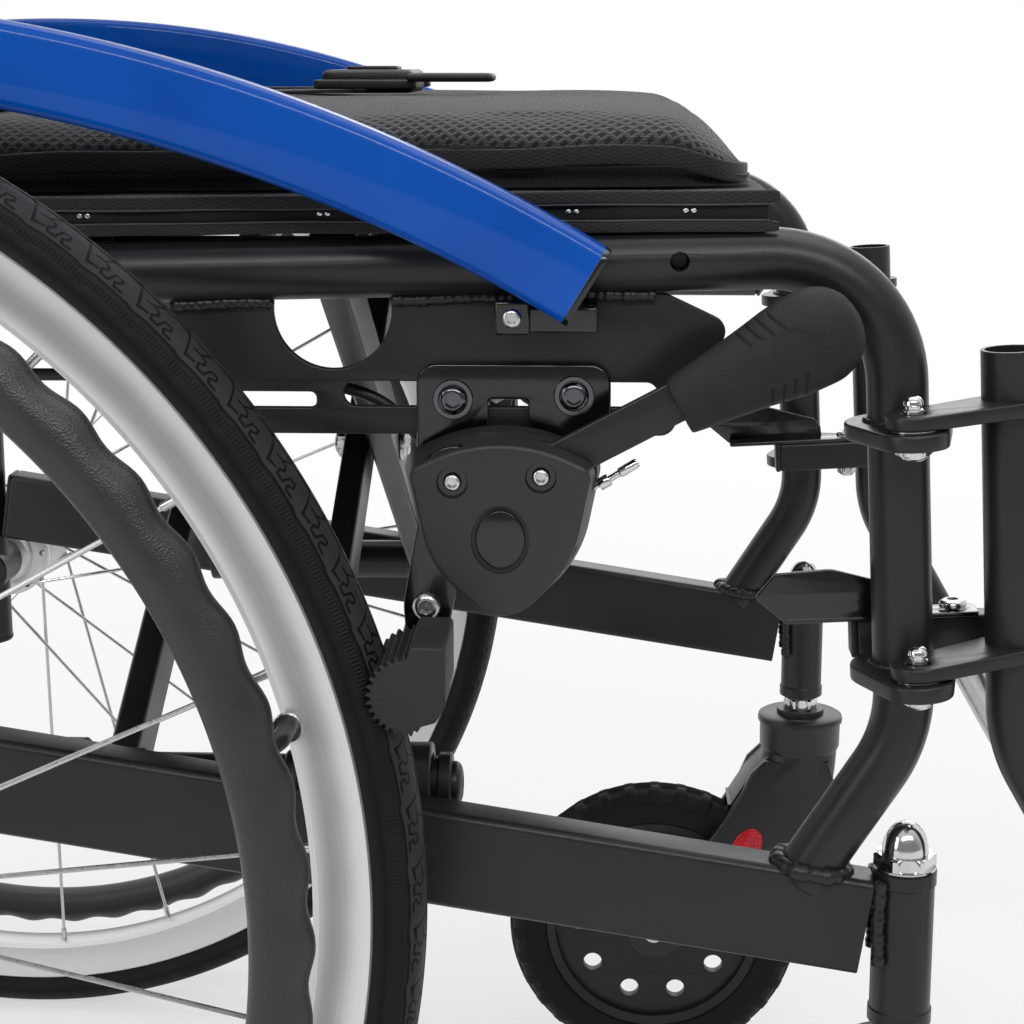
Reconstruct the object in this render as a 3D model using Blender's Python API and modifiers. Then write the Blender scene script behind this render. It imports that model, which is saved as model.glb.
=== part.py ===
# Ultralight folding wheelchair, built as its real pieces.
# Metres, +Z up, +X to the front, the chair's right side at -Y, the floor at Z = 0.
# Places are given from the rear axle (x) and the floor (z), and AXLE_X moves the axle to
# its place, so that the origin is the middle of the chair's footprint.

import math

import bmesh
import bpy
from mathutils import Matrix, Vector

AXLE_X = -0.22
RIGHT = -1
LEFT = 1

# Side frame
TRACK = 0.2235
TUBE_R = 0.0115
SEAT_SLOPE = 0.0253
SEAT_Z = 0.5211
SEAT_REAR_X = 0.0120
TOP_CORNER = (0.4736, 0.5331)
TOP_BEND = 0.048
LOW_CORNER = (0.4838, 0.3504)
LOW_BEND = 0.055
TUBE_FOOT = (0.4453, 0.2896)
RAIL_HEIGHT = 0.0387
RAIL_WIDTH = 0.020
RAIL_REAR = (0.0155, 0.3441)
RAIL_FRONT = (0.4745, 0.2729)
STEM_X = 0.486
STEM_R = 0.0060
STEM_BORE_R = 0.0068
STEM_NUT_R = 0.0130
HOUSING_R = 0.0125
HOUSING_Z = (0.232, 0.296)
CANE_FOOT_Z = 0.262
CANE_KNEE_Z = 0.580
CANE_TOP = (-0.0462, 0.9135)
HANDLE_END_X = -0.175
HAND_LEVER_PIVOT = (-0.084, 0.8890)
PLATE_Y = 0.2235
PLATE_THICK = 0.004

# Leg rest hinge: its axis leans with the front tube
HINGE = (0.4795, 0.470)
HINGE_Y = 0.2485
LEAN = math.radians(3.2)
HINGE_DROP = 0.0935
PIN_R = 0.0037
LUG_RING_R = 0.020
LUG_EYE_R = 0.013
PIN_NUT_R = 0.0068
LEG_TOP = (0.5179, 0.4990)
LEG_CORNER = (0.5268, 0.3480)
LEG_SLOPE = math.radians(60)
LEG_TUBE_R = 0.0095
FOOT_Z = 0.200
FOOT_END_X = 0.697

# Folding cross brace
BRACE_Y = 0.198
BRACE_Z = 0.3186
BRACE_TUBE_R = 0.011
BRACE_HEAD_R = 0.0125
BRACE_RING_R = 0.0165
BRACE_BORE_R = 0.0124
BRACE_RINGS_X = ((0.148, 0.160), (0.286, 0.300))
SEAT_RAIL_Z = 0.5265
SEAT_RAIL_R = 0.011
ARM_THICK = 0.012
ARM_HEIGHT = 0.024

# Wheels
WHEEL_Y = 0.2885
WHEEL_R = 0.305
HANDRIM_Y = 0.331
HANDRIM_R = 0.258
HANDRIM_TUBE_R = 0.0105
SPOKES_A_FLANGE = 12
SPOKE_R = 0.0012
WHEEL_STEPS = 36
AXLE_R = 0.006
AXLE_MIDDLE_Y = 0.26
CASTER_R = 0.0875
CASTER_X = 0.400
CASTER_WIDTH = 0.026

# Brake
LEVER_PIVOT = (0.345, 0.4565)
SHOE_PIVOT = (0.3134, 0.4557)
LEVER_ANGLE = math.radians(28)
LEVER_Y = 0.2490
GRIP_FLATNESS = 0.69
SHOE_ARM_Y = 0.2555

# Arch over the wheel
ARCH_CENTRE = (0.0468, 0.0016)
ARCH_LOW_R = 0.594
ARCH_TOP_R = 0.625
ARCH_Y = 0.2490
ARCH_WIDTH = 0.019
ARCH_FRONT = math.radians(58.88)
ARCH_REAR = math.radians(96.4)

# Arm rest
ARMREST_PIVOT = (-0.0222, 0.740)
ARMREST_Y = 0.2525

# Seat upholstery: it falls a little towards the back
SEAT_DROP = 0.012
CUSHION_X = (0.025, 0.421)
CUSHION_HALF_WIDTH = 0.211
CUSHION_EDGE_Z = 0.580
CUSHION_CROWN = 0.012
BELT_HALF_WIDTH = 0.0125
BACKREST_HALF_WIDTH = 0.211
BACKREST_SAG = 0.016

GAP = 0.0003


def clear_scene():
    for obj in list(bpy.data.objects):
        bpy.data.objects.remove(obj, do_unlink=True)


def collection(name):
    made = bpy.data.collections.new(name)
    bpy.context.scene.collection.children.link(made)
    return made


clear_scene()
CHAIR = collection("ultralight_wheelchair")
CUTTERS = collection("cutters")


def link(name, data):
    obj = bpy.data.objects.new(name, data)
    CHAIR.objects.link(obj)
    return obj


def at(x, y, z):
    """A place in the world from the rear axle's x, the chair's middle and the floor."""
    return Vector((x + AXLE_X, y, z))


def paint(obj, colour, roughness, metallic=0.0):
    material = bpy.data.materials.new(obj.name)
    material.use_nodes = True
    shader = material.node_tree.nodes["Principled BSDF"]
    shader.inputs["Base Color"].default_value = (*colour, 1.0)
    shader.inputs["Roughness"].default_value = roughness
    shader.inputs["Metallic"].default_value = metallic
    obj.data.materials.clear()
    obj.data.materials.append(material)


def black_paint(obj):
    paint(obj, (0.020, 0.020, 0.022), 0.38, 0.3)


def black_plastic(obj):
    paint(obj, (0.022, 0.022, 0.023), 0.55)


def steel(obj):
    paint(obj, (0.62, 0.62, 0.62), 0.25, 1.0)


def rubber(obj):
    paint(obj, (0.016, 0.016, 0.017), 0.75)


def fabric(obj):
    paint(obj, (0.018, 0.018, 0.020), 0.9)


def smooth(obj, angle=35):
    obj.data.shade_smooth()
    obj.data.set_sharp_from_angle(angle=math.radians(angle))


def as_mesh(obj):
    """A curve made a mesh, its caps welded to its sides."""
    evaluated = obj.evaluated_get(bpy.context.evaluated_depsgraph_get())
    mesh = bpy.data.meshes.new_from_object(evaluated)
    made = link(obj.name, mesh)
    made.matrix_world = obj.matrix_basis
    name = obj.name
    bpy.data.objects.remove(obj, do_unlink=True)
    made.name = name
    shape = bmesh.new()
    shape.from_mesh(mesh)
    bmesh.ops.remove_doubles(shape, verts=shape.verts, dist=1e-6)
    shape.to_mesh(mesh)
    shape.free()
    return made


def boolean(target, tool, operation):
    """Join a tool to the target, or cut it out; the tool waits hidden among the cutters."""
    modifier = target.modifiers.new(tool.name, "BOOLEAN")
    modifier.operation = operation
    modifier.solver = "EXACT"
    modifier.object = tool
    CHAIR.objects.unlink(tool)
    CUTTERS.objects.link(tool)
    tool.hide_render = True
    tool.display_type = "WIRE"


def join(target, *tools):
    for tool in tools:
        boolean(target, tool, "UNION")


def cut(target, *tools):
    for tool in tools:
        boolean(target, tool, "DIFFERENCE")


def set_origin(obj, place):
    """Move an object's origin to a place in the world and leave its shape where it is."""
    local = obj.matrix_basis.inverted() @ place
    obj.data.transform(Matrix.Translation(-local))
    obj.location = place


def box(name, low, high):
    """A box between two corners, in metres from the axle."""
    shape = bmesh.new()
    bmesh.ops.create_cube(shape, size=1.0)
    size = [high[i] - low[i] for i in range(3)]
    bmesh.ops.scale(shape, vec=size, verts=shape.verts)
    mesh = bpy.data.meshes.new(name)
    shape.to_mesh(mesh)
    shape.free()
    obj = link(name, mesh)
    obj.location = at(*[(low[i] + high[i]) / 2 for i in range(3)])
    return obj


def side_box(name, side, x, y, z):
    """A box on one side of the chair; y runs outwards."""
    across = sorted((side * y[0], side * y[1]))
    return box(name, (x[0], across[0], z[0]), (x[1], across[1], z[1]))


def rod(name, start, end, radius, sides=8):
    """A straight round bar between two places, in metres from the axle."""
    start = at(*start)
    end = at(*end)
    shape = bmesh.new()
    bmesh.ops.create_cone(
        shape,
        cap_ends=True,
        segments=sides,
        radius1=radius,
        radius2=radius,
        depth=(end - start).length,
    )
    mesh = bpy.data.meshes.new(name)
    shape.to_mesh(mesh)
    shape.free()
    obj = link(name, mesh)
    obj.rotation_euler = (end - start).to_track_quat("Z", "Y").to_euler()
    obj.location = (start + end) / 2
    smooth(obj)
    return obj


def cross_rod(name, side, x, z, y, radius, sides=8):
    """A round bar that lies across the chair, from y[0] out to y[1]."""
    return rod(name, (x, side * y[0], z), (x, side * y[1], z), radius, sides)


def upright_rod(name, side, x, z, radius, sides=8):
    """A round bar that stands in the plane of the side frame, from z[0] up to z[1]."""
    return rod(name, (x, side * TRACK, z[0]), (x, side * TRACK, z[1]), radius, sides)


def bent_path(corners, bends, steps=4):
    """The corners of a path, each inner one replaced by an arc of its bend radius."""
    corners = [Vector(corner) for corner in corners]
    path = [corners[0]]
    for before, corner, after, radius in zip(corners, corners[1:], corners[2:], bends):
        into = (corner - before).normalized()
        out = (after - corner).normalized()
        turn = into.angle(out)
        reach = radius * math.tan(turn / 2)
        middle = corner + (out - into).normalized() * radius / math.cos(turn / 2)
        start = corner - into * reach - middle
        normal = into.cross(out).normalized()
        for step in range(steps + 1):
            path.append(middle + Matrix.Rotation(turn * step / steps, 3, normal) @ start)
    path.append(corners[-1])
    return path


def tube(name, path, radius, resolution=2):
    """A round tube along a path of world places."""
    curve = bpy.data.curves.new(name, "CURVE")
    curve.dimensions = "3D"
    curve.bevel_depth = radius
    curve.bevel_resolution = resolution
    curve.use_fill_caps = True
    spline = curve.splines.new("POLY")
    spline.points.add(len(path) - 1)
    for point, place in zip(spline.points, path):
        point.co = (*place, 1.0)
    return as_mesh(link(name, curve))


def smooth_path(points, spacing):
    """Points along a Catmull-Rom curve through the given ones, about a spacing apart."""
    points = [Vector(point) for point in points]
    ends = [2 * points[0] - points[1], *points, 2 * points[-1] - points[-2]]
    path = [points[0]]
    for before, start, end, after in zip(ends, ends[1:], ends[2:], ends[3:]):
        count = max(1, round((end - start).length / spacing))
        for step in range(1, count + 1):
            t = step / count
            path.append(
                0.5
                * (
                    2 * start
                    + (end - before) * t
                    + (2 * before - 5 * start + 4 * end - after) * t**2
                    + (3 * start - before - 3 * end + after) * t**3
                )
            )
    return path


def arc(centre, radius, start, end, steps):
    """Points on an arc, its angles in degrees."""
    points = []
    for step in range(steps + 1):
        angle = math.radians(start + (end - start) * step / steps)
        points.append(
            (centre[0] + radius * math.cos(angle), centre[1] + radius * math.sin(angle))
        )
    return points


def rounded(corners, radii, steps=4):
    """A closed outline with each corner rounded to its radius."""
    count = len(corners)
    points = []
    for i in range(count):
        before = Vector((*corners[i - 1], 0))
        corner = Vector((*corners[i], 0))
        after = Vector((*corners[(i + 1) % count], 0))
        bend = bent_path([before, corner, after], [radii[i]], steps)
        points.extend((point.x, point.y) for point in bend[1:-1])
    return points


def plate(name, outlines, thickness, bevel=0.0):
    """A flat plate from closed outlines in its own x and y; inner outlines are holes."""
    curve = bpy.data.curves.new(name, "CURVE")
    curve.dimensions = "2D"
    curve.fill_mode = "BOTH"
    curve.extrude = thickness / 2 - bevel
    curve.bevel_depth = bevel
    curve.bevel_resolution = 1
    curve.offset = -bevel
    for outline in outlines:
        spline = curve.splines.new("POLY")
        spline.points.add(len(outline) - 1)
        for point, (x, y) in zip(spline.points, outline):
            point.co = (x, y, 0.0, 1.0)
        spline.use_cyclic_u = True
    return as_mesh(link(name, curve))


def upright_plate(name, side, outlines, y, bevel=0.0):
    """A plate that stands in the plane of the side frame, from y[0] out to y[1]."""
    obj = plate(name, outlines, y[1] - y[0], bevel)
    obj.rotation_euler = (math.pi / 2, 0, 0)
    obj.location = at(0, side * (y[0] + y[1]) / 2, 0)
    return obj


def turned(name, profile, steps, place, axis):
    """A profile of (radius, height) turned about an axis through a place."""
    mesh = bpy.data.meshes.new(name)
    count = len(profile)
    verts = [(radius, 0, height) for radius, height in profile]
    closed = profile[0][0] > 0
    edges = [(i, (i + 1) % count) for i in range(count if closed else count - 1)]
    mesh.from_pydata(verts, edges, [])
    obj = link(name, mesh)
    screw = obj.modifiers.new("turn", "SCREW")
    screw.axis = "Z"
    screw.steps = steps
    screw.render_steps = steps
    screw.use_merge_vertices = True
    screw.merge_threshold = 1e-6
    screw.use_smooth_shade = True
    obj.location = place
    obj.rotation_euler = Vector(axis).to_track_quat("Z", "Y").to_euler()
    return obj


def name_for(side, name):
    return f"{name}_{'left' if side == LEFT else 'right'}"


def in_plane(points, side, y=TRACK):
    return [at(x, side * y, z) for x, z in points]


def leaning(side, u, y, w):
    """A place by the leg rest hinge: u forwards and w up its leaning axis."""
    x = HINGE[0] + u * math.cos(LEAN) - w * math.sin(LEAN)
    z = HINGE[1] + u * math.sin(LEAN) + w * math.cos(LEAN)
    return (x, side * y, z)


def leaning_rod(name, side, u, y, w, radius, sides=8):
    return rod(name, leaning(side, u, y, w[0]), leaning(side, u, y, w[1]), radius, sides)


def leaning_plate(name, side, outline, w):
    """A plate square to the leaning hinge axis; its outline is (u, y outwards)."""
    points = [(u, side * (y - HINGE_Y)) for u, y in outline]
    obj = plate(name, [points], w[1] - w[0])
    obj.rotation_euler = (0, -LEAN, 0)
    obj.location = at(*leaning(side, 0, HINGE_Y, (w[0] + w[1]) / 2))
    return obj


def leaning_box(name, side, u, y, w):
    corners = [(u[0], y[0]), (u[1], y[0]), (u[1], y[1]), (u[0], y[1])]
    return leaning_plate(name, side, corners, w)


def side_frame_tube(side):
    name = name_for(side, "side_frame_tube")
    seat_rear = (SEAT_REAR_X, SEAT_Z + SEAT_SLOPE * SEAT_REAR_X)
    corners = in_plane([seat_rear, TOP_CORNER, LOW_CORNER, TUBE_FOOT], side)
    obj = tube(name, bent_path(corners, [TOP_BEND, LOW_BEND], 5), TUBE_R)
    rail = rail_bar("rail_clearance", side, 0.060, RAIL_HEIGHT + 2 * GAP)
    cut(obj, rail)
    for drop in (0, HINGE_DROP):
        lug = (-0.0040 - drop, 0.0022 - drop)
        join(
            obj,
            leaning_rod("lug_ring", side, -0.0024, TRACK, lug, LUG_RING_R, 12),
            leaning_rod("lug_eye", side, 0, HINGE_Y, (lug[0], lug[1] + 1e-5), LUG_EYE_R, 10),
            leaning_rod("pin", side, 0, HINGE_Y, (-0.0010 - drop, 0.0150 - drop), PIN_R),
            leaning_rod("pin_nut", side, 0, HINGE_Y, (-0.0094 - drop, -0.0035 - drop), PIN_NUT_R, 6),
        )
    black_paint(obj)
    smooth(obj)
    return obj


def rail_bar(name, side, width, height):
    """The sloping box of the lower rail."""
    low = at(RAIL_REAR[0], 0, RAIL_REAR[1])
    high = at(RAIL_FRONT[0], 0, RAIL_FRONT[1])
    length = (high - low).length
    bar = box(name, (-length / 2, -width / 2, -height / 2), (length / 2, width / 2, height / 2))
    bar.rotation_euler = (0, -math.atan2(high.z - low.z, high.x - low.x), 0)
    bar.location = (low + high) / 2 + Vector((0, side * TRACK, 0))
    return bar


def lower_rail(side):
    obj = rail_bar(name_for(side, "lower_rail"), side, RAIL_WIDTH, RAIL_HEIGHT)
    low, high = HOUSING_Z
    y = side * TRACK
    housing = rod("housing", (STEM_X, y, low), (STEM_X, y, high), HOUSING_R, 12)
    bore = rod("stem_bore", (STEM_X, y, low - 0.01), (STEM_X, y, high + 0.01), STEM_BORE_R)
    nut_room = (high + GAP, high + 0.02)
    cut(obj, upright_rod("nut_clearance", side, STEM_X, nut_room, STEM_NUT_R + 0.0012, 12))
    join(obj, housing)
    cut(obj, bore)
    for rear, front in BRACE_RINGS_X:
        ring = [(x, side * BRACE_Y, BRACE_Z) for x in (rear, front)]
        hole = [(x, side * BRACE_Y, BRACE_Z) for x in (rear - 0.01, front + 0.01)]
        join(obj, rod("brace_ring", *ring, BRACE_RING_R))
        cut(obj, rod("ring_bore", *hole, BRACE_BORE_R))
    black_paint(obj)
    return obj


def back_cane(side):
    name = name_for(side, "back_cane")
    corners = [(0, CANE_FOOT_Z), (0, CANE_KNEE_Z), CANE_TOP, (HANDLE_END_X, CANE_TOP[1])]
    obj = tube(name, bent_path(in_plane(corners, side), [0.20, 0.032], 3), TUBE_R)
    join(obj, cross_rod("axle_sleeve", side, 0, WHEEL_R, (0.2105, 0.2465), 0.0135))
    x, z = ARMREST_PIVOT
    join(
        obj,
        cross_rod("armrest_pin", side, x, z, (0.2300, 0.2620), 0.0055),
        cross_rod("armrest_collar", side, x, z, (0.2300, 0.2426), 0.0100),
    )
    clamp = (-0.090, -0.078)
    y = side * TRACK
    join(obj, rod("clamp", (clamp[0], y, CANE_TOP[1]), (clamp[1], y, CANE_TOP[1]), 0.0150))
    for offset in (-0.0060, 0.0060):
        cheek = (TRACK + offset - 0.0015, TRACK + offset + 0.0015)
        join(obj, side_box("cheek", side, clamp, cheek, (0.8850, 0.9080)))
    pin_y = (TRACK - 0.0065, TRACK + 0.0065)
    join(obj, cross_rod("lever_pin", side, *HAND_LEVER_PIVOT, pin_y, 0.0025))
    cut(obj, cross_rod("axle_bore", side, 0, WHEEL_R, (0.20, 0.26), 0.0068))
    black_paint(obj)
    smooth(obj)
    return obj


def side_plate(side):
    """Guard plate under the seat tube, with its round hole, two slots and seat saddles."""
    top_gap = TUBE_R + GAP
    hole = (0.266, 0.5123)
    hole_r = 0.0221

    def top(x):
        return SEAT_Z + SEAT_SLOPE * x - top_gap

    upright = 90 + math.degrees(math.atan(SEAT_SLOPE))
    rise = (top(hole[0]) - hole[1]) * math.cos(math.atan(SEAT_SLOPE))
    spread = math.degrees(math.acos(rise / hole_r))
    bite = arc(hole, hole_r, upright + spread, upright + 360 - spread, 10)
    nose = rounded(
        [(0.3896, top(0.3896)), (0.4145, 0.5075), (0.3920, 0.4655), (0.2050, 0.4655)],
        [0.003, 0.006, 0.006, 0.003],
        3,
    )
    outline = [(0.2050, top(0.2050)), *bite, *nose[:-4], (0.2050, 0.4655)]
    short_slot = [(0.2150, 0.4755), (0.2595, 0.4755), (0.2595, 0.4814), (0.2150, 0.4814)]
    long_slot = rounded(
        [(0.2698, 0.4762), (0.3875, 0.4762), (0.3875, 0.4856), (0.2698, 0.4856)],
        [0.0045] * 4,
        3,
    )
    faces = (PLATE_Y - PLATE_THICK / 2, PLATE_Y + PLATE_THICK / 2)
    obj = upright_plate(
        name_for(side, "side_plate"), side, [outline, short_slot, long_slot], faces
    )
    saddle_top = SEAT_RAIL_Z - SEAT_RAIL_R - GAP
    for x in ((0.215, 0.235), (0.335, 0.355)):
        saddle_x = (x[0] - 1e-4, x[1] + 1e-4)
        join(
            obj,
            side_box("saddle_foot", side, x, (0.2050, 0.2220), (0.498, 0.511)),
            side_box("saddle", side, saddle_x, (0.1880, 0.2095), (0.504, saddle_top)),
        )
    black_paint(obj)
    return obj


def arch_tube(side):
    """Flat arched tube over the wheel, with the bracket that carries its front end."""
    low = math.degrees(ARCH_FRONT)
    high = math.degrees(ARCH_REAR)
    outer = arc(ARCH_CENTRE, ARCH_TOP_R, low, high, 10)
    inner = arc(ARCH_CENTRE, ARCH_LOW_R, high, low, 10)
    faces = (ARCH_Y - ARCH_WIDTH / 2, ARCH_Y + ARCH_WIDTH / 2)
    obj = upright_plate(name_for(side, "arch_tube"), side, [outer + inner], faces, 0.003)
    join(
        obj,
        side_box("arch_bracket", side, (0.3280, 0.3650), (0.2258, 0.2450), (0.5065, 0.5160)),
        cross_rod("arch_boss", side, -0.0035, 0.6090, (0.2353, 0.2450), 0.008),
    )
    paint(obj, (0.003, 0.072, 0.33), 0.28, 0.2)
    smooth(obj)
    return obj


def rear_wheel(side):
    place = at(0, side * WHEEL_Y, WHEEL_R)
    axis = (0, side, 0)
    tyre = turned(
        name_for(side, "tyre"),
        [
            (0.3050, 0.0000),
            (0.3022, -0.0110),
            (0.2940, -0.0175),
            (0.2864, -0.0112),
            (0.2765, -0.0090),
            (0.2765, 0.0090),
            (0.2864, 0.0112),
            (0.2940, 0.0175),
            (0.3022, 0.0110),
        ],
        WHEEL_STEPS,
        place,
        axis,
    )
    rubber(tyre)
    rim = turned(
        name_for(side, "wheel"),
        [
            (0.2860, 0.0130),
            (0.2640, 0.0085),
            (0.2640, -0.0085),
            (0.2860, -0.0130),
            (0.2860, -0.0115),
            (0.2761, -0.0093),
            (0.2761, 0.0093),
            (0.2860, 0.0115),
        ],
        WHEEL_STEPS,
        place,
        axis,
    )
    hub = turned(
        "hub",
        [
            (0.0160, 0.0285),
            (0.0260, 0.0215),
            (0.0260, 0.0165),
            (0.0150, 0.0140),
            (0.0150, -0.0210),
            (0.0260, -0.0235),
            (0.0260, -0.0285),
            (0.0160, -0.0385),
            (0.0068, -0.0385),
            (0.0068, 0.0285),
        ],
        12,
        place,
        axis,
    )
    join(rim, spokes(side, place), hub)
    paint(rim, (0.70, 0.70, 0.71), 0.3, 0.9)
    return tyre, rim


def spokes(side, place):
    """All the spokes of a wheel: from each hub flange, crossed in turn to the rim."""
    shape = bmesh.new()
    for flange, flange_y in enumerate((-0.0265, 0.0195)):
        for i in range(SPOKES_A_FLANGE):
            angle = math.radians(30 * i + 15 * flange + 4)
            lead = math.radians(62 if i % 2 else -62)
            shift = 0.0016 if i % 2 else -0.0016
            hub_end = Vector((math.cos(angle + lead), 0, math.sin(angle + lead))) * 0.0225
            hub_end.y = side * (flange_y + shift)
            rim_end = Vector((math.cos(angle), 0, math.sin(angle))) * 0.2680
            rim_end.y = side * (0.003 if flange else -0.003)
            run = rim_end - hub_end
            turn = run.to_track_quat("Z", "Y").to_matrix().to_4x4()
            matrix = Matrix.Translation((hub_end + rim_end) / 2) @ turn
            bmesh.ops.create_cone(
                shape,
                cap_ends=True,
                segments=3,
                radius1=SPOKE_R,
                radius2=SPOKE_R,
                depth=run.length,
                matrix=matrix,
            )
    mesh = bpy.data.meshes.new("spokes")
    shape.to_mesh(mesh)
    shape.free()
    obj = link("spokes", mesh)
    obj.location = place
    return obj


def handrim(side):
    place = at(0, side * HANDRIM_Y, WHEEL_R)
    profile = [
        (HANDRIM_R + HANDRIM_TUBE_R * math.cos(a), HANDRIM_TUBE_R * math.sin(a))
        for a in [math.radians(-60 * k) for k in range(6)]
    ]
    obj = turned(name_for(side, "handrim"), profile, WHEEL_STEPS, place, (0, side, 0))
    for k in range(6):
        angle = math.radians(60 * k + 15)
        direction = (math.cos(angle), math.sin(angle))
        start = (HANDRIM_R * direction[0], side * HANDRIM_Y, WHEEL_R + HANDRIM_R * direction[1])
        end = (0.2690 * direction[0], side * 0.3040, WHEEL_R + 0.2690 * direction[1])
        join(obj, rod("standoff", start, end, 0.0035, 6))
    rubber(obj)
    return obj


def axle(side):
    """Quick-release axle through the frame sleeve and the hub, hollow at its outer end."""
    profile = [
        (0.0, 0.3145),
        (0.0045, 0.3145),
        (0.0045, 0.3220),
        (0.0110, 0.3220),
        (0.0110, 0.3174),
        (AXLE_R, 0.3174),
        (AXLE_R, 0.2050),
        (0.0, 0.2050),
    ]
    obj = turned(
        name_for(side, "axle"),
        [(radius, y - AXLE_MIDDLE_Y) for radius, y in profile],
        12,
        at(0, side * AXLE_MIDDLE_Y, WHEEL_R),
        (0, side, 0),
    )
    steel(obj)
    button = cross_rod(
        name_for(side, "axle_button"), side, 0, WHEEL_R, (0.3176, 0.3240), 0.0040, 10
    )
    steel(button)
    return obj, button


def caster(side):
    y = side * TRACK
    outline = (
        [(0.4560, 0.2070), (0.4400, 0.1580), (0.3860, 0.0980)]
        + arc((CASTER_X, CASTER_R), 0.0165, 140, 300, 6)
        + [(0.4750, 0.1130), (0.5000, 0.1450), (0.5040, 0.1650), (0.5065, 0.2070)]
    )
    fork = upright_plate(
        name_for(side, "caster_fork"), side, [outline], (TRACK - 0.0205, TRACK + 0.0205)
    )
    slot = (TRACK - 0.0143, TRACK + 0.0143)
    bolt = (TRACK - 0.0240, TRACK + 0.0240)
    cut(fork, cross_rod("wheel_slot", side, CASTER_X, CASTER_R, slot, CASTER_R + 0.0035, 24))
    join(
        fork,
        upright_rod("collar", side, STEM_X, (0.2040, 0.2235), 0.0245, 12),
        upright_rod("spacer", side, STEM_X, (0.2200, 0.2315), 0.0095),
        upright_rod("stem", side, STEM_X, (0.2300, 0.3000), STEM_R),
        upright_rod("nut", side, STEM_X, (0.2965, 0.3030), STEM_NUT_R, 6),
        upright_rod("dome", side, STEM_X, (0.3020, 0.3150), 0.0087),
        cross_rod("wheel_bolt", side, CASTER_X, CASTER_R, bolt, 0.0040),
    )
    set_origin(fork, at(STEM_X, y, 0.2235))
    black_plastic(fork)
    smooth(fork)
    wheel = turned(
        name_for(side, "caster_wheel"),
        [
            (CASTER_R, 0.0060),
            (CASTER_R, -0.0060),
            (CASTER_R - 0.0100, -CASTER_WIDTH / 2),
            (0.0640, -0.0100),
            (0.0180, -0.0070),
            (0.0050, -0.0120),
            (0.0050, 0.0120),
            (0.0180, 0.0070),
            (0.0640, 0.0100),
            (CASTER_R - 0.0100, CASTER_WIDTH / 2),
        ],
        24,
        at(CASTER_X, y, CASTER_R),
        (0, side, 0),
    )
    rubber(wheel)
    return fork, wheel


def swept_bar(name, side, pivot, direction, reach, width, head, y):
    """A flat bar with a round head on its pivot, pointing in a direction at rest."""
    along = Vector((math.cos(direction), math.sin(direction)))
    across = Vector((-along.y, along.x))
    centre = Vector(pivot)
    degrees = math.degrees(direction)
    spread = math.degrees(math.asin(width / 2 / head))
    outline = arc(pivot, head, degrees + spread, degrees + 360 - spread, 10)
    tip = centre + along * reach
    outline += [tuple(tip - across * width / 2), tuple(tip + across * width / 2)]
    return upright_plate(name, side, [outline], y)


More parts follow.
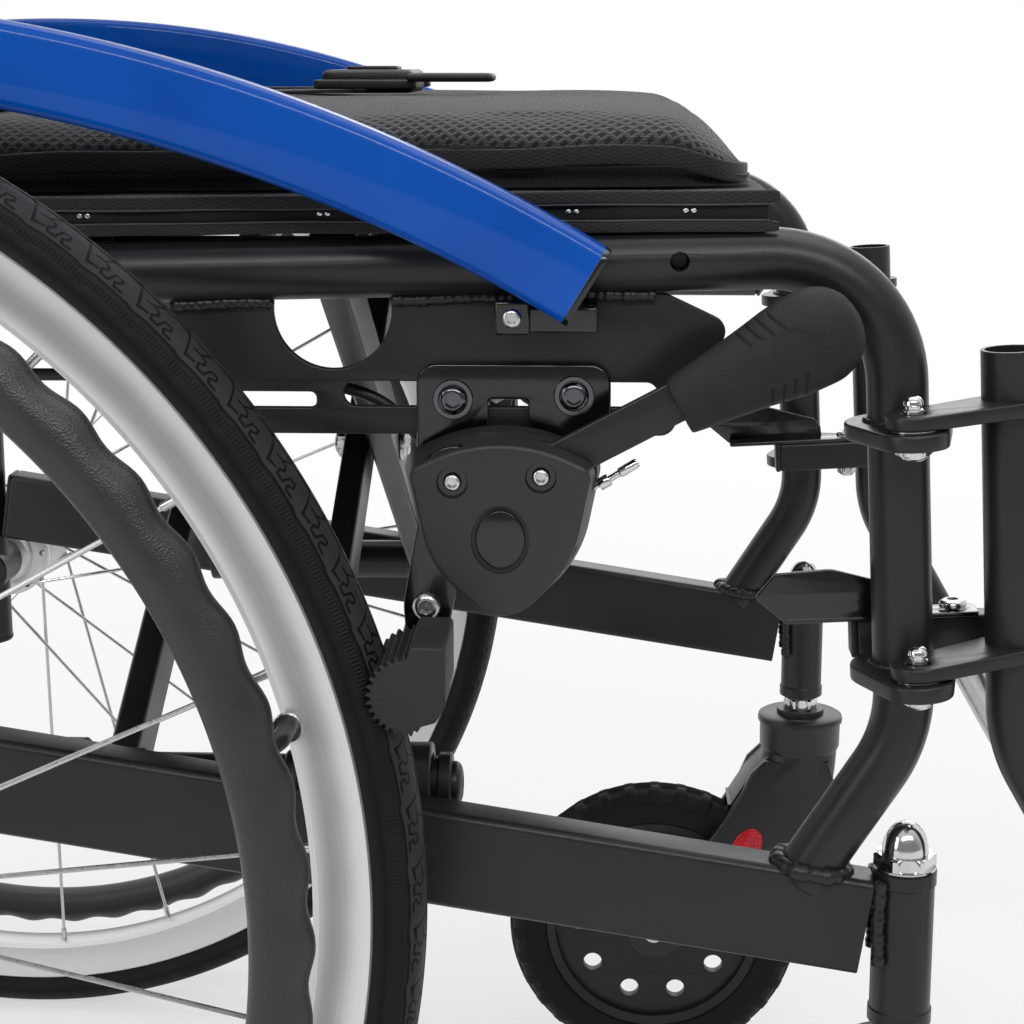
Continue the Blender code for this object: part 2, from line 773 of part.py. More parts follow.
def brake(side):
    bracket_face = (PLATE_Y + PLATE_THICK / 2 + GAP, PLATE_Y + PLATE_THICK / 2 + GAP + 0.004)
    bracket_outline = rounded(
        [(0.2975, 0.4929), (0.2975, 0.4400), (0.3560, 0.4400), (0.3700, 0.4700), (0.3700, 0.4929)],
        [0.007, 0.004, 0.004, 0.006, 0.007],
        3,
    )
    window = [(0.3245, 0.4700), (0.3392, 0.4700), (0.3392, 0.4818), (0.3245, 0.4818)]
    bracket = upright_plate(
        name_for(side, "brake_bracket"), side, [bracket_outline, window], bracket_face
    )
    pins = (bracket_face[1] - 0.001, 0.2582)
    join(
        bracket,
        cross_rod("lever_pin", side, *LEVER_PIVOT, pins, 0.0040, 10),
        cross_rod("shoe_pin", side, *SHOE_PIVOT, pins, 0.0040, 10),
    )
    black_paint(bracket)

    corners = [
        (0.2930, 0.4605),
        (0.3310, 0.4775),
        (0.3685, 0.4605),
        (0.3612, 0.4228),
        (0.3325, 0.3960),
        (0.3018, 0.4228),
    ]
    radii = [0.008, 0.060, 0.008, 0.045, 0.016, 0.045]
    outline = rounded(corners, radii, 2)
    middle = Vector((0.331, 0.438))
    inside = [tuple(middle + (Vector(point) - middle) * 0.93) for point in outline]
    housing = upright_plate(
        name_for(side, "brake_housing"), side, [outline], (0.2372, 0.2620), 0.003
    )
    lever_slot = [LEVER_PIVOT, *arc(LEVER_PIVOT, 0.050, -20, 150, 6)]
    shoe_slot = [SHOE_PIVOT, *arc(SHOE_PIVOT, 0.070, 215, 330, 5)]
    shoe_room = (SHOE_ARM_Y - 0.0028, SHOE_ARM_Y + 0.0028)
    cut(
        housing,
        upright_plate("cavity", side, [inside], (0.2300, 0.2588)),
        upright_plate("lever_slot", side, [lever_slot], (LEVER_Y - 0.0028, LEVER_Y + 0.0028)),
        upright_plate("shoe_slot", side, [shoe_slot], shoe_room),
        cross_rod("shoe_head_room", side, *SHOE_PIVOT, shoe_room, 0.0118, 24),
    )
    black_plastic(housing)

    lever = swept_bar(
        name_for(side, "brake_lever"),
        side,
        LEVER_PIVOT,
        LEVER_ANGLE,
        0.110,
        0.015,
        0.011,
        (LEVER_Y - 0.002, LEVER_Y + 0.002),
    )
    cut(lever, cross_rod("lever_hole", side, *LEVER_PIVOT, (0.24, 0.26), 0.0046, 12))
    set_origin(lever, at(LEVER_PIVOT[0], side * LEVER_Y, LEVER_PIVOT[1]))
    black_paint(lever)

    grip_profile = [
        (0.0, 0.1272),
        (0.0090, 0.1252),
        (0.0150, 0.1200),
        (0.0180, 0.1130),
        (0.0180, 0.1050),
        (0.0152, 0.0850),
        (0.0128, 0.0680),
        (0.0112, 0.0550),
        (0.0, 0.0550),
    ]
    place = at(LEVER_PIVOT[0], side * LEVER_Y, LEVER_PIVOT[1])
    along = (math.cos(LEVER_ANGLE), 0, math.sin(LEVER_ANGLE))
    grip = as_mesh(turned(name_for(side, "brake_grip"), grip_profile, 12, place, along))
    # turned round first, then pressed flatter across the chair
    for corner in grip.data.vertices:
        corner.co.x *= GRIP_FLATNESS
    cut(
        grip,
        swept_bar(
            "lever_socket",
            side,
            LEVER_PIVOT,
            LEVER_ANGLE,
            0.1104,
            0.0158,
            0.011,
            (LEVER_Y - 0.0024, LEVER_Y + 0.0024),
        ),
    )
    rubber(grip)
    return bracket, housing, lever, grip


def brake_shoe(side):
    x, z = SHOE_PIVOT
    faces = (SHOE_ARM_Y - 0.002, SHOE_ARM_Y + 0.002)
    outline = arc(SHOE_PIVOT, 0.011, -15, 195, 7) + [
        (0.2985, 0.4300),
        (0.2945, 0.4080),
        (0.2960, 0.3860),
        (0.3090, 0.3860),
        (0.3130, 0.4080),
        (0.3190, 0.4300),
    ]
    arm = upright_plate(name_for(side, "brake_shoe_arm"), side, [outline], faces)
    cut(arm, cross_rod("shoe_hole", side, x, z, (0.25, 0.26), 0.0046, 12))
    set_origin(arm, at(x, side * SHOE_ARM_Y, z))
    black_paint(arm)

    centre = (0.3000, 0.3875)
    teeth = []
    for k in range(8):
        angle = 90 + 25 * k
        teeth += arc(centre, 0.0142, angle, angle + 14, 1)
        teeth += arc(centre, 0.0128, angle + 16, angle + 23, 1)
    block = [(0.3100, 0.3785), (0.3135, 0.3840), (0.3135, 0.4050), (0.3005, 0.4050)]
    shoe = upright_plate(
        name_for(side, "brake_shoe"), side, [teeth + block], (0.2640, 0.3080)
    )
    cut(
        shoe,
        turned(
            "tyre_clearance",
            [
                (0.3056, 0.0000),
                (0.3050, -0.0068),
                (0.3018, -0.0134),
                (0.2960, -0.0185),
                (0.2600, -0.0185),
                (0.2600, 0.0185),
                (0.2960, 0.0185),
                (0.3018, 0.0134),
                (0.3050, 0.0068),
            ],
            WHEEL_STEPS,
            at(0, side * WHEEL_Y, WHEEL_R),
            (0, side, 0),
        ),
    )
    join(shoe, cross_rod("shoe_neck", side, 0.3040, 0.3930, (faces[1] + GAP, 0.2660), 0.005, 10))
    rubber(shoe)
    return arm, shoe


def leg_direction():
    return Vector((math.cos(LEG_SLOPE), 0, -math.sin(LEG_SLOPE)))


def hanger(side):
    """Swing-away hanger: its bent tube, two ears on the hinge pins and the latch arm."""
    name = name_for(side, "hanger")
    top = at(LEG_TOP[0], side * TRACK, LEG_TOP[1])
    corner = at(LEG_CORNER[0], side * TRACK, LEG_CORNER[1])
    end = corner + leg_direction() * 0.090
    obj = tube(name, bent_path([top, corner, end], [0.060], 5), TUBE_R)
    bore = tube("leg_bore", [corner + leg_direction() * 0.038, end + leg_direction() * 0.01], 0.0102)
    for drop in (0, HINGE_DROP):
        w = (0.0030 - drop, 0.0085 - drop)
        join(obj, leaning_plate("ear", side, ear_outline(), w))
    arm_w = (-0.0953, -0.0803)
    join(
        obj,
        leaning_box("latch_arm", side, (-0.0194, 0.0490), (0.1890, 0.2010), arm_w),
        leaning_box("latch_stub", side, (0.0330, 0.0489), (0.1950, 0.2280), (-0.0952, -0.0804)),
        leaning_rod("latch_pin", side, 0.021, 0.1955, (-0.0830, -0.0750), 0.0030, 8),
        leaning_rod("latch_head", side, 0.021, 0.1955, (-0.0772, -0.0745), 0.0055, 8),
    )
    cut(
        obj,
        bore,
        leaning_rod("pin_bore", side, 0, HINGE_Y, (-0.12, 0.03), PIN_R + 0.0006, 10),
    )
    set_origin(obj, at(HINGE[0], side * HINGE_Y, HINGE[1]))
    black_paint(obj)
    smooth(obj)

    flange_w = (-0.0800, -0.0778)
    flange = leaning_box(
        name_for(side, "hanger_lock"), side, (-0.0450, 0.0300), (0.1900, 0.2045), flange_w
    )
    fin_outline = [
        (-0.0450, -0.0799),
        (-0.0569, -0.0689),
        (-0.0483, -0.0595),
        (-0.0268, -0.0586),
        (0.0037, -0.0676),
        (0.0075, -0.0725),
        (0.0080, -0.0799),
    ]
    fin = plate("fin", [fin_outline], 0.002)
    fin.rotation_euler = (math.pi / 2, -LEAN, 0)
    fin.location = at(*leaning(side, 0, 0.2034, 0))
    join(flange, fin)
    cut(flange, leaning_rod("lock_hole", side, 0.021, 0.1955, (-0.09, -0.07), 0.0036, 10))
    set_origin(flange, at(*leaning(side, 0.021, 0.1955, -0.0789)))
    black_paint(flange)
    return obj, flange


def ear_outline():
    """A hinge ear: round over the pin, widening to a collar round the hanger tube."""
    eye = (0.0, HINGE_Y)
    collar = (0.0415, TRACK)
    slope = math.degrees(math.atan2(collar[1] - eye[1], collar[0] - eye[0]))
    head = arc(eye, 0.0102, slope + 93, slope + 267, 5)
    return head + arc(collar, 0.0135, slope - 87, slope + 87, 5)


def footrest(side):
    corner = at(LEG_CORNER[0], side * TRACK, LEG_CORNER[1])
    start = corner + leg_direction() * 0.045
    reach = (corner.z - FOOT_Z) / math.sin(LEG_SLOPE)
    bend = corner + leg_direction() * reach
    end = at(FOOT_END_X, side * TRACK, FOOT_Z)
    leg = tube(name_for(side, "footrest_tube"), bent_path([start, bend, end], [0.020], 4), LEG_TUBE_R)
    steel(leg)
    smooth(leg)

    outline = rounded(
        [(0.6050, 0.1950), (0.7450, 0.1950), (0.7450, 0.3450), (0.6050, 0.3450)],
        [0.012, 0.012, 0.030, 0.030],
        4,
    )
    step = upright_plate(name_for(side, "footplate"), side, [outline], (0.2020, 0.2070))
    barrel = [(0.640, side * TRACK, FOOT_Z), (0.690, side * TRACK, FOOT_Z)]
    hole = [(0.630, side * TRACK, FOOT_Z), (0.705, side * TRACK, FOOT_Z)]
    join(
        step,
        rod("barrel", *barrel, 0.0130),
        side_box("web", side, (0.6405, 0.6895), (0.2060, 0.2140), (0.1955, 0.2100)),
    )
    cut(step, rod("barrel_bore", *hole, LEG_TUBE_R + 0.0008))
    set_origin(step, at(0.665, side * TRACK, FOOT_Z))
    black_plastic(step)
    return leg, step


def armrest(side):
    x, z = ARMREST_PIVOT
    y = side * ARMREST_Y
    path = bent_path([at(x, y, z), at(0.285, y, z), at(0.330, y, z - 0.026)], [0.040], 4)
    bar = tube(name_for(side, "armrest"), path, LEG_TUBE_R)
    join(bar, cross_rod("eye", side, x, z, (0.2445, 0.2605), 0.0125))
    cut(bar, cross_rod("eye_bore", side, x, z, (0.24, 0.27), 0.0062))
    set_origin(bar, at(x, y, z))
    black_paint(bar)
    smooth(bar)

    pad_outline = rounded(
        [(0.030, 0.2405), (0.290, 0.2405), (0.290, 0.2805), (0.030, 0.2805)], [0.014] * 4, 4
    )
    pad_outline = [(px, side * py) for px, py in pad_outline]
    pad = plate(name_for(side, "arm_pad"), [pad_outline], 0.026, 0.005)
    pad.location = at(0, 0, z + LEG_TUBE_R + GAP + 0.013)
    rubber(pad)
    smooth(pad)
    return bar, pad


def handle(side):
    y = side * TRACK
    front = -0.092
    rear = -0.179
    grip = turned(
        name_for(side, "push_grip"),
        [
            (0.0, rear - front),
            (0.0120, rear - front),
            (0.0160, rear - front + 0.004),
            (0.0150, -0.045),
            (0.0165, -0.010),
            (0.0180, 0.0),
            (0.0122, 0.0),
            (0.0122, HANDLE_END_X - front - GAP),
            (0.0, HANDLE_END_X - front - GAP),
        ][::-1],
        12,
        at(front, y, CANE_TOP[1]),
        (1, 0, 0),
    )
    rubber(grip)

    outline = [
        (-0.0790, 0.8935),
        (-0.0790, 0.8845),
        (-0.0880, 0.8835),
        (-0.1100, 0.8790),
        (-0.1600, 0.8745),
        (-0.1680, 0.8760),
        (-0.1680, 0.8800),
        (-0.1600, 0.8805),
        (-0.1100, 0.8870),
        (-0.0880, 0.8935),
    ]
    lever = upright_plate(
        name_for(side, "attendant_lever"), side, [outline], (TRACK - 0.004, TRACK + 0.004)
    )
    x, z = HAND_LEVER_PIVOT
    cut(lever, cross_rod("pin_hole", side, x, z, (0.2, 0.24), 0.0030, 10))
    set_origin(lever, at(x, y, z))
    black_plastic(lever)
    return grip, lever


def brake_cable(side):
    """Sheath from the handle down the cane, inside the guard plate and out to the brake."""
    route = [
        (-0.0700, 0.2235, 0.8850),
        (-0.0620, 0.2235, 0.8500),
        (-0.0540, 0.2235, 0.8000),
        (-0.0460, 0.2235, 0.7400),
        (-0.0330, 0.2235, 0.6600),
        (-0.0200, 0.2225, 0.5900),
        (-0.0155, 0.2150, 0.5400),
        (-0.0050, 0.2070, 0.5080),
        (0.0200, 0.2080, 0.4900),
        (0.0700, 0.2140, 0.4860),
        (0.1500, 0.2160, 0.4860),
        (0.2300, 0.2160, 0.4860),
        (0.2800, 0.2160, 0.4780),
        (0.3050, 0.2165, 0.4520),
        (0.3180, 0.2210, 0.4320),
        (0.3240, 0.2310, 0.4270),
        (0.3260, 0.2420, 0.4300),
    ]
    points = [at(x, side * y, z) for x, y, z in route]
    obj = tube(name_for(side, "brake_cable"), smooth_path(points, 0.022), 0.0024, 1)
    black_plastic(obj)
    return obj


def brace(name, side, arm_x):
    """One half of the scissor: two flat arms, its lower pivot tube and its seat rail."""
    lower = Vector((0, side * BRACE_Y, BRACE_Z))
    upper = Vector((0, -side * BRACE_Y, SEAT_RAIL_Z))
    length = (upper - lower).length
    tilt = math.atan2(upper.z - lower.z, upper.y - lower.y)
    y = side * BRACE_Y
    obj = rod(name, (0.145, y, BRACE_Z), (0.303, y, BRACE_Z), BRACE_TUBE_R)
    join(
        obj,
        rod("front_head", (0.3025, y, BRACE_Z), (0.3080, y, BRACE_Z), BRACE_HEAD_R),
        rod("rear_head", (0.1400, y, BRACE_Z), (0.1455, y, BRACE_Z), BRACE_HEAD_R),
        rod("seat_rail", (0.030, -y, SEAT_RAIL_Z), (0.425, -y, SEAT_RAIL_Z), SEAT_RAIL_R),
    )
    for x in arm_x:
        arm = box(
            "arm",
            (-ARM_THICK / 2, -length / 2, -ARM_HEIGHT / 2),
            (ARM_THICK / 2, length / 2, ARM_HEIGHT / 2),
        )
        arm.rotation_euler = (tilt, 0, 0)
        arm.location = at(x, 0, (BRACE_Z + SEAT_RAIL_Z) / 2)
        join(obj, arm)
    return obj


def braces():
    middle_z = (BRACE_Z + SEAT_RAIL_Z) / 2
    first_x = (0.2500, 0.1750)
    second_x = (0.2635, 0.1885)
    first = brace("brace_a", RIGHT, first_x)
    second = brace("brace_b", LEFT, second_x)
    for a, b in zip(first_x, second_x):
        face = b + ARM_THICK / 2
        join(
            first,
            rod("centre_pin", (a, 0, middle_z), (face + 0.003, 0, middle_z), 0.0050, 10),
            rod("centre_head", (face + 0.0005, 0, middle_z), (face + 0.0045, 0, middle_z), 0.0090, 10),
        )
        cut(second, rod("centre_hole", (b - 0.0070, 0, middle_z), (b + 0.0070, 0, middle_z), 0.0058))
    for obj in (first, second):
        black_paint(obj)
        smooth(obj)
    set_origin(first, at(0.224, RIGHT * BRACE_Y, BRACE_Z))
    set_origin(second, at(0.224, 0, middle_z))
    return first, second


def pillow(name, low, high, crown, pinch, cells):
    """A soft block: its top swells to the crown and its sides draw in between corners."""
    shape = bmesh.new()
    bmesh.ops.create_cube(shape, size=2.0)
    for cuts, axis in zip(cells, range(3)):
        edges = [
            edge
            for edge in shape.edges
            if abs(edge.verts[0].co[axis] - edge.verts[1].co[axis]) > 1.9
        ]
        bmesh.ops.subdivide_edges(shape, edges=edges, cuts=cuts, use_grid_fill=True)
    centre = [(low[i] + high[i]) / 2 for i in range(3)]
    half = [(high[i] - low[i]) / 2 for i in range(3)]
    for vert in shape.verts:
        u, v, w = vert.co
        swell = (1 - u**4) * (1 - v**4)
        x = centre[0] + u * (half[0] - pinch * (1 - v**2) * abs(u) ** 3)
        y = centre[1] + v * (half[1] - pinch * (1 - u**2) * abs(v) ** 3)
        z = centre[2] + w * half[2] + (crown * swell if w > 0 else 0) * (w + 1) / 2
        vert.co = (x, y, z)
    mesh = bpy.data.meshes.new(name)
    shape.to_mesh(mesh)
    shape.free()
    obj = link(name, mesh)
    obj.location = at(0, 0, 0)
    return obj


def cushion_top(x, y):
    """Height of the crowned top of the cushion."""
    u = (2 * x - CUSHION_X[0] - CUSHION_X[1]) / (CUSHION_X[1] - CUSHION_X[0])
    v = y / CUSHION_HALF_WIDTH
    swell = CUSHION_CROWN * (1 - u**4) * (1 - v**4)
    return CUSHION_EDGE_Z + swell - SEAT_DROP * (CUSHION_X[1] - x)


def seat():
    sling_low = (0.032, -0.232, 0.5447)
    sling_high = (0.429, 0.232, 0.5565)
    sling = pillow("seat_sling", sling_low, sling_high, -0.004, 0.0, (5, 5, 0))
    cushion = pillow(
        "seat_cushion",
        (CUSHION_X[0], -CUSHION_HALF_WIDTH, 0.5568),
        (CUSHION_X[1], CUSHION_HALF_WIDTH, CUSHION_EDGE_Z),
        CUSHION_CROWN,
        0.006,
        (9, 9, 2),
    )
    for obj in (sling, cushion):
        for vert in obj.data.vertices:
            vert.co.z -= SEAT_DROP * (CUSHION_X[1] - vert.co.x)
        fabric(obj)
        smooth(obj, 50)
    return sling, cushion


def backrest():
    """Upholstery between the canes, leaning back with them and bowed by the sitter."""
    lean = (CANE_TOP[0]) / (CANE_TOP[1] - CANE_KNEE_Z)
    low = (-0.008, -BACKREST_HALF_WIDTH, 0.600)
    high = (0.008, BACKREST_HALF_WIDTH, 0.880)
    obj = pillow("backrest", low, high, 0.0, 0.0, (0, 7, 3))
    for vert in obj.data.vertices:
        across = vert.co.y / BACKREST_HALF_WIDTH
        sag = BACKREST_SAG * (1 - across**2)
        vert.co.x += lean * (vert.co.z - CANE_KNEE_Z) - sag
    fabric(obj)
    smooth(obj, 50)
    return obj


def lap_belt():
    """Webbing up both sides of the cushion and over its top to the buckle in the middle."""
    side_run = [(0.070, 0.2170, 0.5600), (0.070, 0.2165, 0.5770)]
    plan = [(0.080, 0.208), (0.105, 0.182), (0.150, 0.130), (0.205, 0.075), (0.250, 0.028)]
    half = side_run + [(x, y, cushion_top(x, y) + 0.003) for x, y in plan]
    route = [at(x, -y, z) for x, y, z in half] + [at(x, y, z) for x, y, z in reversed(half)]
    shape = bmesh.new()
    pairs = []
    for i, place in enumerate(route):
        along = route[min(i + 1, len(route) - 1)] - route[max(i - 1, 0)]
        flat = Vector((along.x, along.y, 0))
        lies_flat = flat.length > abs(along.z)
        across = Vector((0, 0, 1)).cross(along) if lies_flat else Vector((-1, 0, 0))
        across = across.normalized() * BELT_HALF_WIDTH
        pairs.append((shape.verts.new(place - across), shape.verts.new(place + across)))
    for (a, b), (c, d) in zip(pairs, pairs[1:]):
        shape.faces.new((a, c, d, b))
    mesh = bpy.data.meshes.new("lap_belt")
    shape.to_mesh(mesh)
    shape.free()
    obj = link("lap_belt", mesh)
    solid = obj.modifiers.new("thickness", "SOLIDIFY")
    solid.thickness = 0.0015
    solid.offset = 1.0
    top = cushion_top(0.259, 0)
    join(obj, box("buckle", (0.2380, -0.0330, top + 0.001), (0.2800, 0.0330, top + 0.013)))
    black_plastic(obj)
    return obj


def build_side(side):
    side_frame_tube(side)
    lower_rail(side)
    back_cane(side)
    side_plate(side)
    arch_tube(side)
    rear_wheel(side)
    handrim(side)
    axle(side)
    caster(side)
    brake(side)
    brake_shoe(side)
    hanger(side)
    footrest(side)
    armrest(side)
    handle(side)
    brake_cable(side)


for chair_side in (RIGHT, LEFT):
    build_side(chair_side)
braces()
seat()
backrest()
lap_belt()
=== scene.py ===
import math
from functools import partial

import bmesh
import bpy
import numpy as np
from mathutils import Matrix, Vector
from mathutils.geometry import tessellate_polygon


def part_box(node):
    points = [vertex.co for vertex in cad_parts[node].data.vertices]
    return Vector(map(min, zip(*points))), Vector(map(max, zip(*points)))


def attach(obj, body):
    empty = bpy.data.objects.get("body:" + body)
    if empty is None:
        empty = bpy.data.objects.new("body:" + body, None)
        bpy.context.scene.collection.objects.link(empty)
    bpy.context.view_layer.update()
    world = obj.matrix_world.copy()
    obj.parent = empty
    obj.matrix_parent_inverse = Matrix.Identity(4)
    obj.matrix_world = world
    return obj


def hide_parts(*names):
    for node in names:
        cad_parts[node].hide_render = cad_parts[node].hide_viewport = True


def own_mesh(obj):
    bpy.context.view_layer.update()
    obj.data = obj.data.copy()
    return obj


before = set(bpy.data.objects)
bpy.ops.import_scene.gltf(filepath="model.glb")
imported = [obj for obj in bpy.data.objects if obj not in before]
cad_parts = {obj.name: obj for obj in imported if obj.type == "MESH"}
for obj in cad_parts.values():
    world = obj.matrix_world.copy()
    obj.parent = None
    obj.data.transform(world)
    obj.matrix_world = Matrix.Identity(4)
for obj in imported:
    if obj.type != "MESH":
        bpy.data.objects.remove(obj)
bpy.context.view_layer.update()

# Places are metres: x forwards from the rear axle, y outwards from the chair's middle, z up from the
# floor. Every piece is modelled on the left and mirrored to its own side when its mesh is made.
axleLow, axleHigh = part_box("axle_right")
axleX = (axleLow.x + axleHigh.x) / 2
mm = 0.001

layout = {
    "track": 0.2235,          # middle of the side frame's tubes
    "tubeR": 0.0115,
    "seatRear": (0.012, 0.5214),
    "topCorner": (0.4736, 0.5331),
    "lowCorner": (0.4838, 0.3504),
    "tubeFoot": (0.4453, 0.2896),
    "railRear": (0.0155, 0.3441),
    "railFront": (0.4745, 0.2729),
    "railHeight": 0.0387,
    "railWidth": 0.02,
    "stemX": 0.486,
    "hinge": (0.4795, 0.47),
    "hingeY": 0.2485,
    "lean": math.radians(3.2),
    "hingeDrop": 0.0935,
    "wheelY": 0.2885,
    "axleZ": 0.305,
    "casterX": 0.4,
    "casterR": 0.0875,
    "seatDrop": 0.012,
    "seatFront": 0.421,
    "bracePivot": (0.198, 0.3186),   # y and z of the brace's lower tube
}


# Shapes worked out as whole arrays

def unit(v):
    # a direction divided by its own length
    return v / np.linalg.norm(v, axis=-1, keepdims=True)


def bend(corners, radii, steps=10, closed=False):
    # a path whose corners become arcs: start + r sin(t)
    # into + r (1 - cos(t)) inward, for t from 0 to the turn
    corners = [np.array(corner, float) for corner in corners]
    count = len(corners)
    inner = range(count) if closed else range(1, count - 1)
    path = [] if closed else [corners[0][None]]
    for i, radius in zip(inner, radii):
        into = unit(corners[i] - corners[i - 1])
        out = unit(corners[(i + 1) % count] - corners[i])
        turn = math.acos(max(-1.0, min(1.0, float(into @ out))))
        if radius == 0 or turn < 1e-3:
            path.append(corners[i][None])
            continue
        inward = (out - into * math.cos(turn)) / math.sin(turn)
        t = np.linspace(0, turn, steps + 1)[:, None]
        start = corners[i] - into * radius * math.tan(turn / 2)
        path.append(start + radius * np.sin(t) * into + radius * (1 - np.cos(t)) * inward)
    if not closed:
        path.append(corners[-1][None])
    return np.concatenate(path)


def arc(centre, radius, start, end, steps):
    # centre + radius (cos a, sin a), with a in degrees from start to end
    a = np.radians(np.linspace(start, end, steps + 1))
    return np.stack([centre[0] + radius * np.cos(a), centre[1] + radius * np.sin(a)], 1)


def roundBox(x, z, radius, steps):
    # a rectangle between two places each way, with rounded corners
    return bend([(x[0], z[0]), (x[1], z[0]), (x[1], z[1]), (x[0], z[1])], [radius] * 4, steps, True)


def smoothThrough(points, perSpan=8, closed=False):
    # a Catmull-Rom curve: each span is the cubic through
    # its two points with slopes from their neighbours
    p = np.asarray(points, float)
    if not closed:
        p = np.concatenate([2 * p[:1] - p[1:2], p, 2 * p[-1:] - p[-2:-1]])
    a, b, c, d = (np.roll(p, -k, 0) for k in range(4))
    spans = len(p) if closed else len(p) - 3
    t = (np.arange(perSpan) / perSpan)[None, :, None]
    a, b, c, d = (q[:spans, None] for q in (a, b, c, d))
    curve = 0.5 * (
        2 * b + (c - a) * t + (2 * a - 5 * b + 4 * c - d) * t**2 + (3 * b - a - 3 * c + d) * t**3
    )
    curve = curve.reshape(-1, p.shape[1])
    return curve if closed else np.concatenate([curve, p[-2:-1]])


def resample(path, spacing):
    # points at even steps of the distance run along a path
    run = np.concatenate([[0], np.cumsum(np.linalg.norm(np.diff(path, axis=0), axis=1))])
    steps = np.linspace(0, run[-1], max(2, round(run[-1] / spacing) + 1))
    return np.stack([np.interp(steps, run, path[:, k]) for k in range(path.shape[1])], 1)


def flatIn(points, out):
    # (x, z) pairs set in an upright plane at a distance out
    points = np.asarray(points, float)
    return np.stack([points[:, 0], np.full(len(points), float(out)), points[:, 1]], 1)


def shellOf(points, quads, others, uv):
    # a shape's places, its four-sided faces, its other faces, and uv for every corner of a face
    return {"points": points, "quads": quads, "others": others, "uv": uv}


def gridShell(points, closeRows=False, closeColumns=False, caps=False):
    # a grid of places (rows, columns, 3) with four-sided
    # faces; uv is the mean distance run each way, in metres
    rows, columns = points.shape[:2]
    r, c = np.meshgrid(
        np.arange(rows - (not closeRows)), np.arange(columns - (not closeColumns)), indexing="ij"
    )
    cornerR = np.stack([r.ravel() + k for k in (0, 0, 1, 1)], 1)
    cornerC = np.stack([c.ravel() + k for k in (0, 1, 1, 0)], 1)
    quads = (cornerR % rows) * columns + cornerC % columns
    runR = np.cumsum(np.linalg.norm(np.roll(points, -1, 0) - points, axis=2).mean(1))
    runC = np.cumsum(np.linalg.norm(np.roll(points, -1, 1) - points, axis=2).mean(0))
    runR, runC = np.concatenate([[0], runR]), np.concatenate([[0], runC])
    uv = np.stack([runR[cornerR], runC[cornerC]], 2).reshape(-1, 2)
    others = []
    if caps:
        others = [list(range(columns))[::-1], list(range((rows - 1) * columns, rows * columns))]
        uv = np.concatenate([uv, np.zeros((2 * columns, 2))])
    return shellOf(points.reshape(-1, 3), quads, others, uv)


def basis(axis):
    # two directions square to an axis and to each other
    axis = unit(np.array(axis, float))
    helper = np.array((0.0, 0.0, 1.0)) if abs(axis[2]) < 0.9 else np.array((1.0, 0.0, 0.0))
    first = unit(np.cross(helper, axis))
    return axis, first, np.cross(axis, first)


def sweepGrid(path, section, scale=None, across=(0, 1, 0), closed=False):
    # a flat section carried along a path: path + s1
    # (tangent x across) + s2 (the direction square to both)
    path = np.asarray(path, float)
    if closed:
        tangent = unit(np.roll(path, -1, 0) - np.roll(path, 1, 0))
    else:
        tangent = unit(np.gradient(path, axis=0))
    upwards = unit(np.cross(tangent, np.broadcast_to(across, tangent.shape)))
    sideways = np.cross(upwards, tangent)
    section = np.asarray(section, float)
    size = np.ones(len(path)) if scale is None else np.asarray(scale, float)
    a = section[None, :, 0] * size[:, None]
    b = section[None, :, 1] * size[:, None]
    return path[:, None] + a[..., None] * upwards[:, None] + b[..., None] * sideways[:, None]


def sweepShell(path, section, scale=None, across=(0, 1, 0), closed=False):
    # the carried section as a skin, with caps where the path is open
    grid = sweepGrid(path, section, scale, across, closed)
    return gridShell(grid, closeRows=closed, closeColumns=True, caps=not closed)


def angles(count):
    # even steps round a circle
    return np.arange(count) * 2 * math.pi / count


def circle(radius, sides):
    # radius (cos a, sin a)
    a = angles(sides)
    return np.stack([radius * np.cos(a), radius * np.sin(a)], 1)


def tubeShell(path, radius, sides=28, ends=("flat", "flat"), across=(0, 1, 0)):
    # a round ring along a path; a flat end has a small chamfer, a round end is half a ball
    path = np.asarray(path, float)
    scale = np.ones(len(path)) * radius
    for k, kind in enumerate(ends):
        at, to = (path[0], path[1]) if k == 0 else (path[-1], path[-2])
        r = scale[0] if k == 0 else scale[-1]
        if kind == "round":
            t = np.linspace(0.02, 1, 7)[:, None] * math.pi / 2
            extra, size = at + unit(to - at) * r * (1 - np.cos(t)), r * np.sin(t[:, 0])
        else:
            chamfer = min(0.7 * mm, 0.2 * r)
            extra = np.stack([at, at + unit(to - at) * chamfer])
            size = np.array([r - chamfer, r])
        if k == 0:
            path, scale = np.concatenate([extra, path[1:]]), np.concatenate([size, scale[1:]])
        else:
            path = np.concatenate([path[:-1], extra[::-1]])
            scale = np.concatenate([scale[:-1], size[::-1]])
    return sweepShell(path, circle(1.0, sides), scale, across)


def rod(start, end, radius, sides=28, ends=("flat", "flat")):
    # a straight round bar between two places
    start, end = np.array(start, float), np.array(end, float)
    across = (0, 1, 0) if abs(unit(end - start)[1]) < 0.8 else (0, 0, 1)
    return tubeShell(np.stack([start, end]), radius, sides, ends, across)


def turnShell(radius, height, centre, axis, steps=48, closed=False):
    # radius and height pairs turned about an axis: centre + h axis + r (cos a first + sin a second)
    axis, first, second = basis(axis)
    a = angles(steps)[:, None]
    radius = np.broadcast_to(radius, (steps, np.shape(radius)[-1]))
    height = np.broadcast_to(height, radius.shape)
    spoke = np.cos(a)[..., None] * first + np.sin(a)[..., None] * second
    points = np.array(centre, float) + height[..., None] * axis + radius[..., None] * spoke
    return gridShell(points, closeRows=True, closeColumns=closed)


def lathe(pairs, centre, axis=(0, 1, 0), steps=48, closed=False):
    # (radius, height) pairs turned about an axis
    return turnShell(*np.array(pairs).T, centre, axis, steps, closed)


def mirrored(half, middle=()):
    # (radius, height) pairs, the pairs in the middle, and the first ones again on the other side of 0
    return [*half, *middle, *((radius, -height) for radius, height in half[::-1])]


